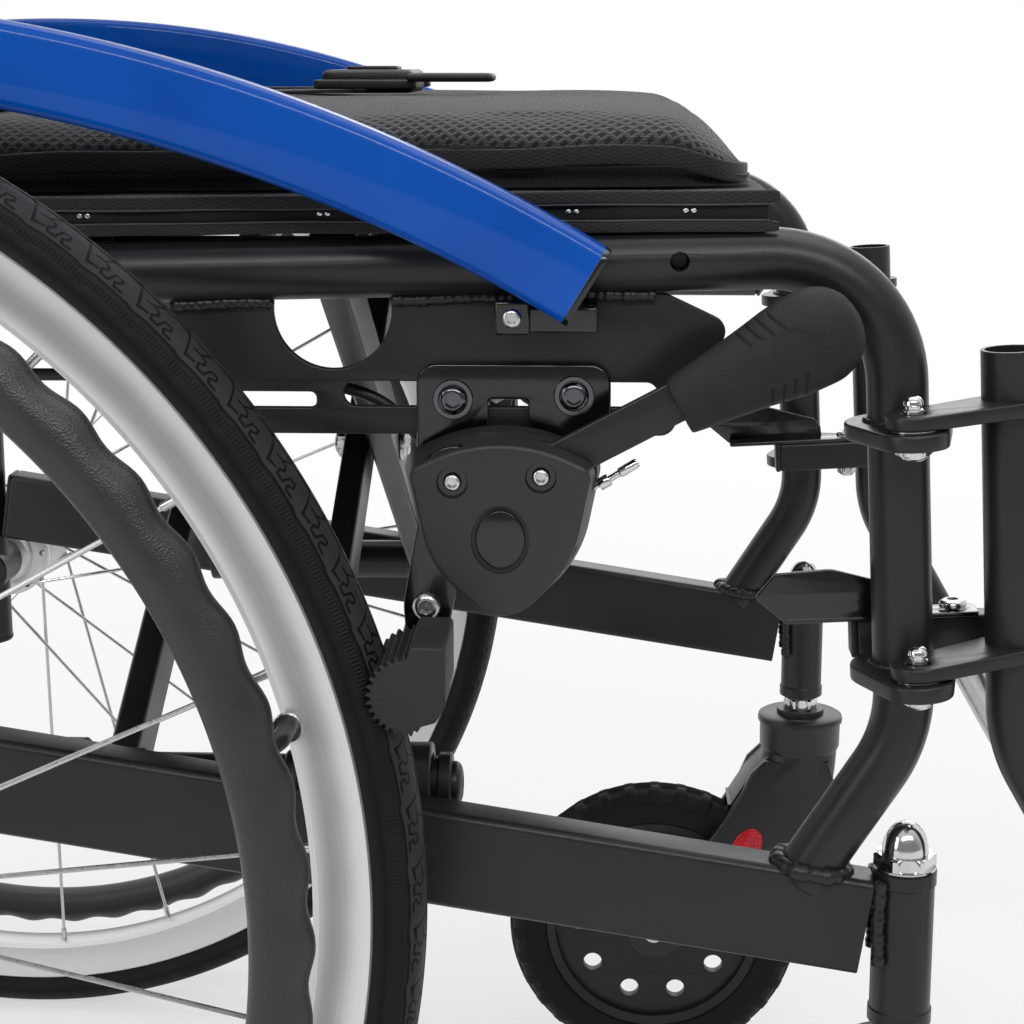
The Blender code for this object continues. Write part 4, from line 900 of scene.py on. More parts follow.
def hingePins(side):
    # chrome pins with a grooved round head above each lug, and a domed nut below it
    groove = [
        (0, 0.015), (0.0018, 0.0149), (0.003, 0.0142), (0.0036, 0.013), (0.0037, 0.0118),
        (0.003, 0.0112), (0.003, 0.0104), (0.0037, 0.0099), (0.0037, -0.001), (0, -0.001),
    ]
    shells = []
    for drop in (0, layout["hingeDrop"]):
        foot = leaning(0, layout["hingeY"], -drop)
        shells.append(lathe(groove, foot, leanAxis, 32))
        shells.append(hexNut(
            leaning(0, layout["hingeY"], -0.004 - drop), -leanAxis, 0.0059, 2.6 * mm, 2.8 * mm
        ))
        washer = np.array([(0, 0), (8.4, 0), (8.8, 0.2), (8.8, 0.7), (8.4, 0.9), (0, 0.9)]) * mm
        shells.append(lathe(washer, leaning(0, layout["hingeY"], 0.0022 - drop), leanAxis, 40))
    sidePiece("hingePins", shells, chrome, "frame", side)


def railSection(steps):
    # the rail's rounded rectangle, up the section first and then across it
    h, w = layout["railHeight"] / 2, layout["railWidth"] / 2
    return roundBox((-h, h), (-w, w), frameLook["railCorner"], steps)


def lowerRail(side):
    # the deep flat rail: a rounded section carried along
    # its slope, the caster housing and the brace sleeves
    y = layout["track"]
    ends = np.array([0.0, 0.5 * mm, 1.2 * mm, railLength - 4 * mm])
    path = flatIn([railPoint(run) for run in ends], y)
    shells = [sweepShell(path, railSection(6), [0.96, 0.985, 1.0, 1.0])]
    low, high = frameLook["housing"]
    housing = [
        (0.0068, high), (0.0112, high), (0.0125, high - 0.0008), (0.0125, high - 0.006),
        (0.0119, high - 0.0066), (0.0119, low + 0.0066), (0.0125, low + 0.006), (0.0125, low + 0.0008),
        (0.0112, low), (0.0068, low),
    ]
    shells.append(lathe(housing, (layout["stemX"], y, 0), (0, 0, 1), 48, closed=True))
    sidePiece("lowerRail", shells, satin, "frame", side, ["lower_rail"])
    sleeves = []
    for start, end in frameLook["sleeves"]:
        tube = collarOf(0.0124, 0.0165, start, end, 0.7 * mm)
        sleeves.append(lathe(tube, (0, *layout["bracePivot"]), (1, 0, 0), closed=True))
    sidePiece("braceSleeves", sleeves, satin, "frame", side)
    cap = plateShell([railSection(5)], -2.4 * mm, 0.4 * mm, edge=1.4 * mm)
    cap = placed(cap, flatIn([railPoint(0)], y)[0], *railAxes())
    sidePiece("railEndCap", [cap], nylon, "frame", side)


def railAxes():
    # up the rail's section, across it, and along it
    along = unit(flatIn([railPoint(1.0)], 0)[0] - flatIn([railPoint(0.0)], 0)[0])
    return (-along[2], 0, along[0]), (0, 1, 0), along


def frameWelds(side):
    # rippled beads: plate to seat tube, tube foot to rail, rail end to housing, housing to tube
    y, r = layout["track"], layout["tubeR"]
    weld = frameLook["weldR"]
    shells = []
    for start, end in ((0.207, 0.2435), (0.2885, 0.3865)):
        x = np.linspace(start, end, 40)
        wander = 0.35 * mm * np.sin(x / (7 * mm))
        for out in (0.0031, -0.0031):
            shells.append(bead(np.stack([x, y + out + 0 * x, seatTubeZ(x) - 0.0122 + wander], 1), weld))
    foot = np.array((layout["tubeFoot"][0], y, layout["tubeFoot"][1]))
    corner = np.array((layout["lowCorner"][0], y, layout["lowCorner"][1]))
    along = unit(corner - foot)
    up, sideways, _ = (np.array(v) for v in railAxes())
    railTop = flatIn([railPoint(0, layout["railHeight"] / 2)], y)[0]
    a = np.radians(np.linspace(0, 354, 90))[:, None]
    ring = foot + (r + 0.6 * mm) * (np.cos(a) * np.cross(along, sideways) + np.sin(a) * sideways)
    reach = ((railTop - ring) @ up) / (along @ up)
    ring = ring + reach[:, None] * along
    ring[:, 1] = y + np.clip(ring[:, 1] - y, -0.0112, 0.0112)
    shells.append(bead(ring, weld * 1.5, 4.2 * mm, across=up))
    for offset in (-1, 1):
        z = np.linspace(0.2585, 0.2935, 24)
        curve = 0.001 * np.sin(z / (5 * mm))
        line = np.stack([layout["stemX"] - 0.0105 + curve * 0.3, y + offset * 0.0092 + 0 * z, z], 1)
        shells.append(bead(line, weld * 1.15))
    sidePiece("weldBeads", shells, satin, "frame", side)


guardLook = {
    "faces": (0.2215, 0.2255),        # inner and outer face
    "hole": (0.266, 0.5123, 0.0221),  # middle and radius of the round hole that is open at the top
    "slots": (   # start and end each way, corner radius and its steps
        ((0.215, 0.2595), (0.4755, 0.4814), 2.4 * mm, 5),
        ((0.2698, 0.3875), (0.4762, 0.4856), 4.5 * mm, 8),
    ),
    "saddles": ((0.215, 0.235), (0.335, 0.355)),
    "saddleTop": 0.5265 - 0.011 - 0.0003,   # the seat rail's height less its radius and a little air
    "edgeDrop": 0.0118,               # how far the upper edge lies below the seat tube's middle
}


def guardPlate(side):
    # the plate under the seat tube: open round hole, two
    # slots, and the saddles that catch the seat rail
    look = guardLook

    def top(x):
        # height of the plate's upper edge, up to which the tube's lower side is welded
        return seatTubeZ(x) - look["edgeDrop"]

    *hole, holeR = look["hole"]
    rise = top(hole[0]) - hole[1]
    spread = math.degrees(math.acos(rise / holeR))
    bite = arc(hole, holeR, 91.4 + spread, 451.4 - spread, 40)
    corners = [
        (0.205, top(0.205)), (0.3896, top(0.3896)), (0.4145, 0.5075), (0.392, 0.4655), (0.205, 0.4655)
    ]
    nose = bend(corners, [0, 0.003, 0.006, 0.006, 0.003], 6, True)
    outline = np.concatenate([nose[:1], bite, nose[1:]])
    shells = [sidePlate(
        [outline, *(roundBox(*slot) for slot in look["slots"])], *look["faces"], edge=0.7 * mm
    )]
    for start, end in look["saddles"]:
        shells.append(block((start, 0.205, 0.498), (end, 0.222, 0.511), 1.5 * mm))
        shells.append(block((start, 0.188, 0.504), (end, 0.2095, look["saddleTop"]), 1.5 * mm))
    sidePiece("guardPlate", shells, satin, "frame", side, ["side_plate"])


postLook = {
    "foot": 0.262,
    "bend": 0.58,               # height from which the post leans back
    "top": (-0.0462, 0.9135),
    "lean": -0.0462 / 0.3335,   # x for each metre of height above the bend
    "end": -0.175,              # the rear end of the push handle
    "pin": (-0.0222, 0.74),     # the armrest's pin
}


def postX(z):
    # the post's middle line above its bend
    return postLook["lean"] * (z - postLook["bend"])


def backCane(side):
    # the rear post: up past the axle, leaning back, and turned
    # to the push handle; sleeve, pin and lever clamp on it
    y, r, look = layout["track"], layout["tubeR"], postLook
    top = look["top"][1]
    line = flatIn([(0, look["foot"]), (0, look["bend"]), look["top"], (look["end"], top)], y)
    shells = [tubeShell(bend(line, [0.2, 0.032], 20), r, 40)]
    sleeve = collarOf(0.0068, 0.0135, 0.2105, 0.2465, 1.0 * mm)
    shells.append(lathe(sleeve, (0, 0, layout["axleZ"]), closed=True))
    x, z = look["pin"]
    collar = [(0, 0.23), (0.0094, 0.23), (0.01, 0.231), (0.01, 0.2418), (0.0092, 0.2426), (0, 0.2426)]
    shells.append(lathe(collar, (x, 0, z), steps=40))
    clamp = collarOf(0, 0.015, -0.09, -0.078, 0.7 * mm)
    shells.append(lathe(clamp, (0, y, top), (1, 0, 0)))
    for offset in (-0.006, 0.006):
        shells.append(block(
            (-0.09, y + offset - 0.0015, 0.885), (-0.078, y + offset + 0.0015, 0.908), 0.7 * mm
        ))
    sidePiece("rearPost", shells, satin, "frame", side, ["back_cane"])
    pin = [(0, 0.24), (0.0055, 0.24), (0.0055, 0.2608), (0.0046, 0.262), (0, 0.262)]
    bright = [lathe(pin, (x, 0, z), steps=32)]
    pinX, pinZ = handleLook["leverPin"]
    ends = [(pinX, y + out, pinZ) for out in (-0.0082, 0.0082)]
    bright.append(rod(*ends, 0.0025, 20, ("round", "round")))
    sidePiece("postPins", bright, zinc, "frame", side)
    plug = np.array([
        (0, -3.0), (7.5, -2.6), (11.0, -1.2), (11.9, 0.2), (11.9, 1.2), (9.6, 1.2), (9.6, 8), (0, 8)
    ]) * mm
    sidePiece("postFootCap", [lathe(plug, (0, y, look["foot"]), (0, 0, 1), 36)], nylon, "frame", side)


# Blue arch over the wheel

archLook = {
    "centre": (0.0468, 0.0016),
    "middleR": 0.6095,
    "height": 0.031,
    "width": 0.019,
    "corner": 5.0 * mm,
    "out": 0.249,
    "front": 58.88,
    "rear": 96.4,
    "capDepth": 2.2 * mm,
    "capWall": 1.8 * mm,
}


def archSection(grow=0.0):
    # a rectangle with rounded corners, the first axis across the arch's depth
    h, w = archLook["height"] / 2 + grow, archLook["width"] / 2 + grow
    return roundBox((-h, h), (-w, w), archLook["corner"] + grow, 8)


def wheelArch(side):
    # flat rectangular tube along an arc: centre + R (cos a,
    # sin a), with black moulded frames at its open ends
    look = archLook
    capAngle = math.degrees(look["capDepth"] / look["middleR"])
    line = arc(look["centre"], look["middleR"], look["front"] + capAngle, look["rear"] - capAngle, 90)
    path = flatIn(line, look["out"])
    sidePiece("wheelArch", [sweepShell(path, archSection())], blue, "frame", side, ["arch_tube"])
    caps = []
    for angle, turn in ((look["front"], 1), (look["rear"], -1)):
        a = math.radians(angle)
        radial = (math.cos(a), 0, math.sin(a))
        inwards = (-turn * math.sin(a), 0, turn * math.cos(a))
        x, z = (look["centre"][k] + look["middleR"] * radial[2 * k] for k in (0, 1))
        outlines = [archSection(0.15 * mm), archSection(-look["capWall"])]
        frameRing = plateShell(outlines, 0, look["capDepth"] + 0.4 * mm, edge=0.5 * mm)
        floor = plateShell(
            [archSection(-look["capWall"] + 0.3 * mm)], 1.3 * mm, look["capDepth"], edge=0.1 * mm
        )
        caps += [
            placed(shell, (x, look["out"], z), radial, (0, 1, 0), inwards)
            for shell in (frameRing, floor)
        ]
    sidePiece("archEndCaps", caps, gloss, "frame", side, slot="black_plastic")
    bracket = [block((0.328, 0.2258, 0.5065), (0.365, 0.245, 0.516), 1.2 * mm)]
    boss = [(0, 0.2345), (0.0075, 0.2345), (0.008, 0.2352), (0.008, 0.2445), (0, 0.2445)]
    bracket.append(lathe(boss, (-0.0035, 0, 0.609), steps=40))
    bracket.append(block((0.3275, 0.2445, 0.5058), (0.3405, 0.2475, 0.5185), 1.4 * mm))
    sidePiece("archBracket", bracket, gloss, "frame", side)
    bolt = socketScrew((0.3339, 0.247, 0.512), (0, 1, 0), 3.6 * mm, 2.2 * mm, 1.6 * mm)
    sidePiece("archBolt", [bolt], zinc, "frame", side)


# Rear wheel

tyreLook = {
    "section": [   # radius and half width round the tyre
        (0.305, 0.0), *mirrored([
            (0.3042, -0.0068), (0.3014, -0.0128), (0.296, -0.017), (0.2915, -0.0172), (0.2872, -0.0135),
            (0.285, -0.0112), (0.2775, -0.0098),
        ], [(0.2765, 0.0)]),
    ],
    "motifs": 84,
    "perMotif": 8,
    "grooveDepth": 0.9 * mm,
}


def soft(value, edge):
    # 1 where the value is below zero, falling to 0 over the edge's width
    t = np.clip(0.5 - value / edge, 0, 1)
    return t * t * (3 - 2 * t)


def rubberTyre(side):
    # the section's closed curve turned about the axle; a groove runs round the
    # middle, and a slanted cut lowers each motif's shoulder; uv is the distance
    # along the tread, in whole motifs, and the distance round the section
    look = tyreLook
    ring = np.roll(smoothThrough(look["section"], 6, closed=True), 6, 0)
    radius, width = ring[:, 0], ring[:, 1]
    steps = look["motifs"] * look["perMotif"]
    phase = (np.arange(steps) / look["perMotif"])[:, None] % 1.0
    out = np.abs(width)[None] / 0.0172
    slant = (phase + 0.5 * (width[None] < 0) - 0.06 - 0.3 * out) % 1.0
    nearCut = soft(np.minimum(slant, 1 - slant) - 0.07, 0.1)
    cut = nearCut * soft(0.72 - out, 0.1) * (radius > 0.2935)[None]
    depth = look["grooveDepth"] * np.maximum(
        cut, soft(np.abs(width) - 0.0007, 0.0008)[None] * (radius > 0.3)[None]
    )
    r, h = radius[None] - depth, width[None] - np.sign(width)[None] * depth * 0.5 * out**2
    shell = turnShell(r, h, (0, layout["wheelY"], layout["axleZ"]), (0, 1, 0), steps, closed=True)
    count = len(radius)
    run = np.concatenate([[0], np.cumsum(np.linalg.norm(np.roll(ring, -1, 0) - ring, axis=1))])
    around, index = np.repeat(np.arange(steps), count), np.tile(np.arange(count), steps)
    along = np.stack([around, around, around + 1, around + 1], 1)
    along = along * treadLook["motif"] / look["perMotif"]
    reach = np.stack([run[index], run[index + 1], run[index + 1], run[index]], 1)
    reach = np.where((index >= count // 2)[:, None], reach - run[-1], reach)
    shell["uv"] = np.stack([along, reach], 2).reshape(-1, 2)
    sidePiece("rubberTyre", [shell], tyreBlack, "main_wheel", side, ["tyre"])


def wheelRim(side):
    # box rim turned about the axle: hooked walls, a shallow
    # outer well and a flat inner face, then the hub
    rim = mirrored([
        (0.2862, 0.0118), (0.2866, 0.0126), (0.2858, 0.0134), (0.2836, 0.0136), (0.28, 0.0134),
        (0.272, 0.0126), (0.267, 0.0112), (0.2645, 0.0086), (0.2638, 0.004),
    ], [(0.2637, 0.0)]) + mirrored([(0.277, -0.011), (0.2755, -0.008)])
    centre = (0, layout["wheelY"], layout["axleZ"])
    shells = [lathe(rim, centre, steps=240, closed=True)]
    sidePiece("wheelRim", shells, rimSilver, "main_wheel", side, ["wheel"], sharp=30)
    hub = [
        (0.0068, 0.0285), (0.013, 0.0285), (0.0155, 0.027), (0.0162, 0.0225), (0.025, 0.0213),
        (0.026, 0.0205), (0.026, 0.0178), (0.025, 0.0168), (0.0165, 0.0155), (0.0145, 0.012),
        (0.0138, 0.0), (0.0138, -0.012), (0.0148, -0.019), (0.0165, -0.0225), (0.025, -0.0237),
        (0.026, -0.0245), (0.026, -0.0275), (0.025, -0.0285), (0.0168, -0.03), (0.0155, -0.037),
        (0.014, -0.0385), (0.0068, -0.0385),
    ]
    sidePiece(
        "wheelHub", [lathe(hub, centre, steps=72, closed=True)],
        rimSilver, "main_wheel", side, sharp=50,
    )


spokeLook = {"perFlange": 12, "radius": 1.05 * mm, "hubR": 0.0225, "rimR": 0.2655, "lead": 62}


def wheelSpokes(side):
    # straight wires from each flange to the rim, led
    # forwards and back by turns; a plated nipple ends each
    look = spokeLook
    flange = np.repeat([0, 1], look["perFlange"])
    i = np.tile(np.arange(look["perFlange"]), 2)
    angle = np.radians(30 * i + 15 * flange + 4)
    lead = np.radians(np.where(i % 2, look["lead"], -look["lead"]))
    shift = np.where(i % 2, 0.0016, -0.0016)
    hub = np.stack([np.cos(angle + lead), 0 * angle, np.sin(angle + lead)], 1) * look["hubR"]
    rim = np.stack([np.cos(angle), 0 * angle, np.sin(angle)], 1) * look["rimR"]
    hub[:, 1] = np.where(flange, 0.0195, -0.0265) + shift
    rim[:, 1] = np.where(flange, 0.003, -0.003)
    centre = np.array((0, layout["wheelY"], layout["axleZ"]))
    wires, nipples = [], []
    for start, end in zip(centre + hub, centre + rim):
        direction = unit(end - start)
        wires.append(rod(start, end, look["radius"], 8))
        sleeve = np.array([
            (0, -9.5), (1.25, -9.5), (1.7, -9.0), (1.8, -3), (2.3, -0.8), (2.3, 1.5), (0, 1.5)
        ]) * mm
        nipples.append(lathe(sleeve, end, direction, 12))
        head = np.array([(0, -1.4), (1.9, -1.2), (2.1, 0), (1.9, 1.2), (0, 1.4)]) * mm
        nipples.append(lathe(head, start, steps=12))
    sidePiece("spokeWires", wires, spokeSteel, "main_wheel", side)
    sidePiece("spokeNipples", nipples, zinc, "main_wheel", side)


handrimLook = {
    "out": 0.331, "radius": 0.258, "tubeR": 0.0105, "waves": 58, "waveHeight": 2.4 * mm, "standoffs": 6
}


def handrimTube(side):
    # a ring of tube whose outer half swells into finger waves:
    # reach = tube + wave (1 + cos(n a)) / 2 on the outside
    look = handrimLook
    steps = look["waves"] * 12
    a = angles(steps)[:, None]
    t = angles(28)[None]
    outside = np.clip(np.cos(t), 0, 1) ** 1.2
    wave = look["waveHeight"] * (0.5 + 0.5 * np.cos(look["waves"] * a)) * outside
    reach = look["tubeR"] + wave
    radius = look["radius"] - 0.8 * mm + reach * np.cos(t)
    height = look["out"] + (look["tubeR"] * 0.96) * np.sin(t) + 0 * a
    shells = [turnShell(radius, height, (0, 0, layout["axleZ"]), (0, 1, 0), steps, closed=True)]
    sidePiece("handrimTube", shells, rimGrip, "main_wheel", side, ["handrim"])
    legs, bolts = [], []
    for k in range(look["standoffs"]):
        angle = math.radians(60 * k + 15)
        ahead = np.array((math.cos(angle), 0, math.sin(angle)))
        middle = np.array((0, 0, layout["axleZ"]))
        start = middle + ahead * 0.2665 + np.array((0, 0.3022, 0))
        end = middle + ahead * look["radius"] + np.array((0, look["out"], 0))
        knee = middle + ahead * 0.266 + np.array((0, 0.316, 0))
        legs.append(tubeShell(
            bend([start, knee, end], [0.008], 8), 0.0035, 20, across=np.cross(ahead, (0, 1, 0))
        ))
        washer = np.array([(0, 0), (5.2, 0), (5.6, 0.4), (5.2, 1.6), (0, 1.6)]) * mm
        bolts.append(lathe(washer, start - np.array((0, 0.0006, 0)), (0, 1, 0), 28))
    sidePiece("handrimLegs", legs, satin, "main_wheel", side)
    sidePiece("handrimWashers", bolts, zinc, "main_wheel", side)


def pipeShell(path, outer, inner):
    # an open-ended pipe: the outer ring carried along the path, then the inner one carried back
    rings = [sweepGrid(path, circle(1.0, 36), np.ones(len(path)) * r) for r in (outer, inner)]
    return gridShell(np.concatenate([rings[0], rings[1][::-1]]), closeRows=True, closeColumns=True)


def quickAxle(side):
    # the axle's stem and its turned head, with the push button in the middle
    stem = [
        (0, 0.205), (0.004, 0.205), (0.0058, 0.2075), (0.006, 0.21), (0.006, 0.3174), (0.01, 0.3174),
        (0.011, 0.3182), (0.011, 0.3208), (0.0104, 0.3218), (0.009, 0.322), (0.0047, 0.322),
        (0.0045, 0.3216), (0.0045, 0.3145), (0, 0.3145),
    ]
    centre = (0, 0, layout["axleZ"])
    stemShell = lathe(stem, centre, steps=64)
    sidePiece("quickAxle", [stemShell], zinc, "frame", side, ["axle"])
    button = [
        (0, 0.3176), (0.004, 0.3176), (0.004, 0.323), (0.0034, 0.3238), (0.002, 0.324), (0, 0.3239)
    ]
    buttonShell = lathe(button, centre, steps=40)
    sidePiece("axleButton", [buttonShell], chrome, "axle_button", side, ["axle_button"])


# Caster

casterLook = {
    "legs": (0.0143, 0.0205),
    "legRim": 2.0 * mm,
    "blocks": 34,
    "blockDepth": 1.5 * mm,
    "holes": 10,
    "holeR": 5.6 * mm,
    "reflector": (0.4545, 0.143),
    "reflectorFaces": (1.0 * mm, 0.6 * mm),   # how far it stands proud of the leg and sits in it
}


def casterFork(side):
    # two legs and a crown that bridges them above the
    # wheel, a lipped collar, the spacer, stem and acorn nut
    y, look = layout["track"], casterLook
    wheel = (layout["casterX"], layout["casterR"])
    leg = np.concatenate([
        [(0.464, 0.196), (0.456, 0.188), (0.451, 0.176), (0.44, 0.158), (0.42, 0.129), (0.388, 0.099)],
        arc(wheel, 0.0165, 140, 300, 24),
        [(0.448, 0.097), (0.475, 0.113), (0.492, 0.13), (0.5, 0.145), (0.504, 0.165), (0.5052, 0.185),
         (0.502, 0.196)],
    ])
    crown = np.concatenate([
        [(0.468, 0.199), (0.457, 0.188), (0.445, 0.168)], arc(wheel, 0.091, 61.7, 23.5, 24),
        [(0.5, 0.145), (0.5036, 0.165), (0.5045, 0.185), (0.5, 0.199)],
    ])
    inner, outer = look["legs"]
    shells = [
        sidePlate([leg], y + inner, y + outer, edge=look["legRim"], steps=5),
        sidePlate([leg], y - outer, y - inner, edge=look["legRim"], steps=5),
        sidePlate([crown], y - inner - 0.0012, y + inner + 0.0012, edge=0.4 * mm),
    ]
    collar = [
        (0, 0.199), (0.0222, 0.199), (0.0236, 0.202), (0.0238, 0.215), (0.0249, 0.2166),
        (0.0251, 0.2184), (0.0246, 0.2202), (0.0228, 0.2212), (0.014, 0.2215), (0.0138, 0.2243),
        (0, 0.2243),
    ]
    shells.append(lathe(collar, (layout["stemX"], y, 0), (0, 0, 1), 72))
    # the cast shoulder: rings that go from the collar's
    # circle to the legs' rounded rectangle, |x|^n + |y|^n = 1
    t = np.linspace(0, 1, 16)[:, None]
    ease = t * t * (3 - 2 * t)
    a = angles(96)[None]
    power = 2 / (2 + 3.5 * ease)
    stemX = layout["stemX"]
    boxX, boxY = (np.sign(wave) * np.abs(wave) ** power for wave in (np.cos(a), np.sin(a)))
    ringX = stemX - 0.0072 * ease + (0.0222 + 0.0038 * ease) * boxX
    ringY = y + (0.0222 - 0.0019 * ease) * boxY
    shoulder = np.stack([ringX, ringY, 0.201 - 0.03 * t + 0 * a], 2)
    shells.append(gridShell(shoulder, closeColumns=True, caps=True))
    sidePiece("casterFork", shells, castNylon, "caster_fork", side, ["caster_fork"], sharp=45)
    washer = [(0, 0.2958), (0.0118, 0.2958), (0.0122, 0.2963), (0.0118, 0.2968), (0, 0.2968)]
    metal = [
        hexNut((stemX, y, 0.2243), (0, 0, 1), 0.0086, 0.0062),
        rod((stemX, y, 0.224), (stemX, y, 0.3), 0.006),
        hexNut((stemX, y, 0.2965), (0, 0, 1), 0.0106, 0.0055, 0.0128),
        lathe(washer, (stemX, y, 0), (0, 0, 1)),
    ]
    for turn in (-1, 1):
        place = (wheel[0], y + turn * 0.0203, wheel[1])
        metal.append(socketScrew(place, (0, turn, 0), 6.4 * mm, 3.4 * mm, 2.4 * mm))
    sidePiece("casterBolts", metal, chrome, "caster_fork", side)
    a = angles(40)
    tilt = math.radians(62)
    oval = np.stack([12.5 * mm * np.cos(a), 8.4 * mm * np.sin(a)], 1)
    turning = np.array([(math.cos(tilt), math.sin(tilt)), (-math.sin(tilt), math.cos(tilt))])
    oval = oval @ turning + look["reflector"]
    proud, sunk = look["reflectorFaces"]
    lenses = [
        sidePlate([oval], y - outer - proud, y - outer + sunk, edge=0.9 * mm),
        sidePlate([oval], y + outer - sunk, y + outer + proud, edge=0.9 * mm),
    ]
    sidePiece("forkReflector", lenses, red, "caster_fork", side)


def casterWheel(side):
    # a small solid tyre with block tread, on a disc with a ring of round holes and a hub
    look = casterLook
    centre = (layout["casterX"], layout["track"], layout["casterR"])
    outside = layout["casterR"]
    ring = smoothThrough([(outside, 0), *mirrored([
        (outside - 0.0004, 0.005), (outside - 0.003, 0.0098), (outside - 0.009, 0.0128),
        (outside - 0.016, 0.012), (0.0655, 0.0105),
    ], [(0.064, 0)])], 4, closed=True)
    radius, width = ring[:, 0], ring[:, 1]
    steps = look["blocks"] * 14
    phase = (np.arange(steps) / 14)[:, None] % 1.0
    between = np.minimum(phase, 1 - phase)
    shoulder = soft(0.0032 - np.abs(width), 0.001)[None] * soft(between - 0.3, 0.1)
    middle = soft(np.abs(width) - 0.0012, 0.0008)[None] + 0 * phase
    depth = np.maximum(shoulder, middle) * look["blockDepth"] * (radius > outside - 0.0085)[None]
    tread = turnShell(
        radius[None] - depth, width[None] + 0 * phase, centre, (0, 1, 0), steps, closed=True
    )
    sidePiece("casterTyre", [tread], tyreBlack, "caster_wheel", side, ["caster_wheel"])
    holes = [
        circle(look["holeR"], 20) + 0.0455 * np.array((math.cos(a), math.sin(a)))
        for a in angles(look["holes"])
    ]
    disc = plateShell([circle(0.0646, 96), *holes], -0.004, 0.004, edge=1.0 * mm)
    hub = mirrored([
        (0.005, -0.012), (0.0125, -0.012), (0.0135, -0.0112), (0.015, -0.006), (0.026, -0.004)
    ])
    lip = mirrored([(0.06, -0.0072), (0.0648, -0.0092)], [(0.0652, 0.0)]) + [(0.059, 0.0)]
    shells = [
        placed(disc, centre),
        lathe(hub, centre, steps=64, closed=True),
        lathe(lip, centre, steps=96, closed=True),
    ]
    sidePiece("casterDisc", shells, nylon, "caster_wheel", side)


# Wheel brake

brakeLook = {
    "leverPivot": (0.345, 0.4565),
    "leverAngle": math.radians(28),
    "leverY": 0.249,
    "bar": (0.11, 0.015, 0.011),   # the lever bar's length and width, and the radius of its head
    "gripDrop": 2.2 * mm,   # how far the grip's middle lies below the bar's
    "shoePivot": (0.3134, 0.4557),
    "armY": 0.2555,
    "front": 0.262,
    "draft": 3.4 * mm,
    "faceRim": 1.6 * mm,
    "screws": ((0.3129, 0.4541), (0.345, 0.4562)),
    "screwRecess": (5.8 * mm, 2.8 * mm),
    "badge": (0.3303, 0.4333),
    "badgeSize": (10.6 * mm, 12.6 * mm),   # half width and half height of the plain oval recess
    "badgeDepth": (1.0 * mm, 2.2 * mm),    # its floor, and the groove round it
}


def brakeOutline():
    # the cover's shield shape in the side view
    corners = [
        (0.2928, 0.4605), (0.3305, 0.4775), (0.3675, 0.4605), (0.3596, 0.422), (0.3315, 0.394),
        (0.301, 0.422)
    ]
    return turned(bend(corners, [0.008, 0.06, 0.008, 0.045, 0.019, 0.045], 12, True))


def slotSector(pivot, reach, start, end):
    # a slice of a circle: the room in which an arm swings
    return np.concatenate([[pivot], arc(pivot, reach, start, end, 16)])


def brakeHousing(side):
    # drafted moulded cover with rounded front rim; cavity,
    # lever slot and shoe slot are cut out, and three recesses
    look = brakeLook
    outline = brakeOutline()
    solid = sidePlate(
        [outline], 0.2372, look["front"], edge=look["faceRim"], steps=5, draft=look["draft"]
    )
    cover = sidePiece("brakeCover", [solid], coverNylon, "frame", side, ["brake_housing"], sharp=30)
    carve(cover, [sidePlate([insetOutline(outline, 4.6 * mm)], 0.23, 0.258, edge=0.2 * mm)], side)
    leverY, armY = look["leverY"], look["armY"]
    room = circle(0.0118, 48) + look["shoePivot"]
    for slot, y in (
        (slotSector(look["leverPivot"], 0.05, -20, 150), leverY),
        (slotSector(look["shoePivot"], 0.07, 215, 330), armY),
        (room, armY),
    ):
        carve(cover, [sidePlate([slot], y - 0.0028, y + 0.0028, edge=0.05 * mm)], side)
    oval, middle, front = circle(1.0, 72) * look["badgeSize"], look["badge"], look["front"]
    floor, groove = look["badgeDepth"]
    carve(cover, [sidePlate([oval + middle], front - floor, front + 0.001, edge=0.1 * mm)], side)
    rings = [oval + middle, oval * 0.85 + middle]
    carve(cover, [sidePlate(rings, front - groove, front + 0.001, edge=0.1 * mm)], side)
    radius, depth = look["screwRecess"]
    recess = [
        (0, front - depth), (radius - 0.5 * mm, front - depth), (radius, front + 0.4 * mm),
        (0, front + 0.4 * mm),
    ]
    carve(cover, [lathe(recess, (x, 0, z)) for x, z in look["screws"]], side)
    screws = [
        socketScrew((x, front - depth - 0.2 * mm, z), (0, 1, 0), 3.4 * mm, 3.2 * mm, 1.6 * mm)
        for x, z in look["screws"]
    ]
    sidePiece("coverScrews", screws, zinc, "frame", side)
    inlay = sidePlate([oval * 0.84 + middle], front - floor - 0.1 * mm, front - 0.3 * mm, edge=0.5 * mm)
    # painted shade: thin gloss black discs on the floor of the screw recesses, round the screws, stand
    # in for the shade inside the recesses
    ring = np.array([(0, 0), (5.2, 0), (5.2, 0.2), (0, 0.2)]) * mm
    rings = [lathe(ring, (x, front - depth - 0.05 * mm, z), steps=40) for x, z in look["screws"]]
    sidePiece("coverInlayAndShadeDiscs", [inlay, *rings], gloss, "frame", side, slot="black_plastic")


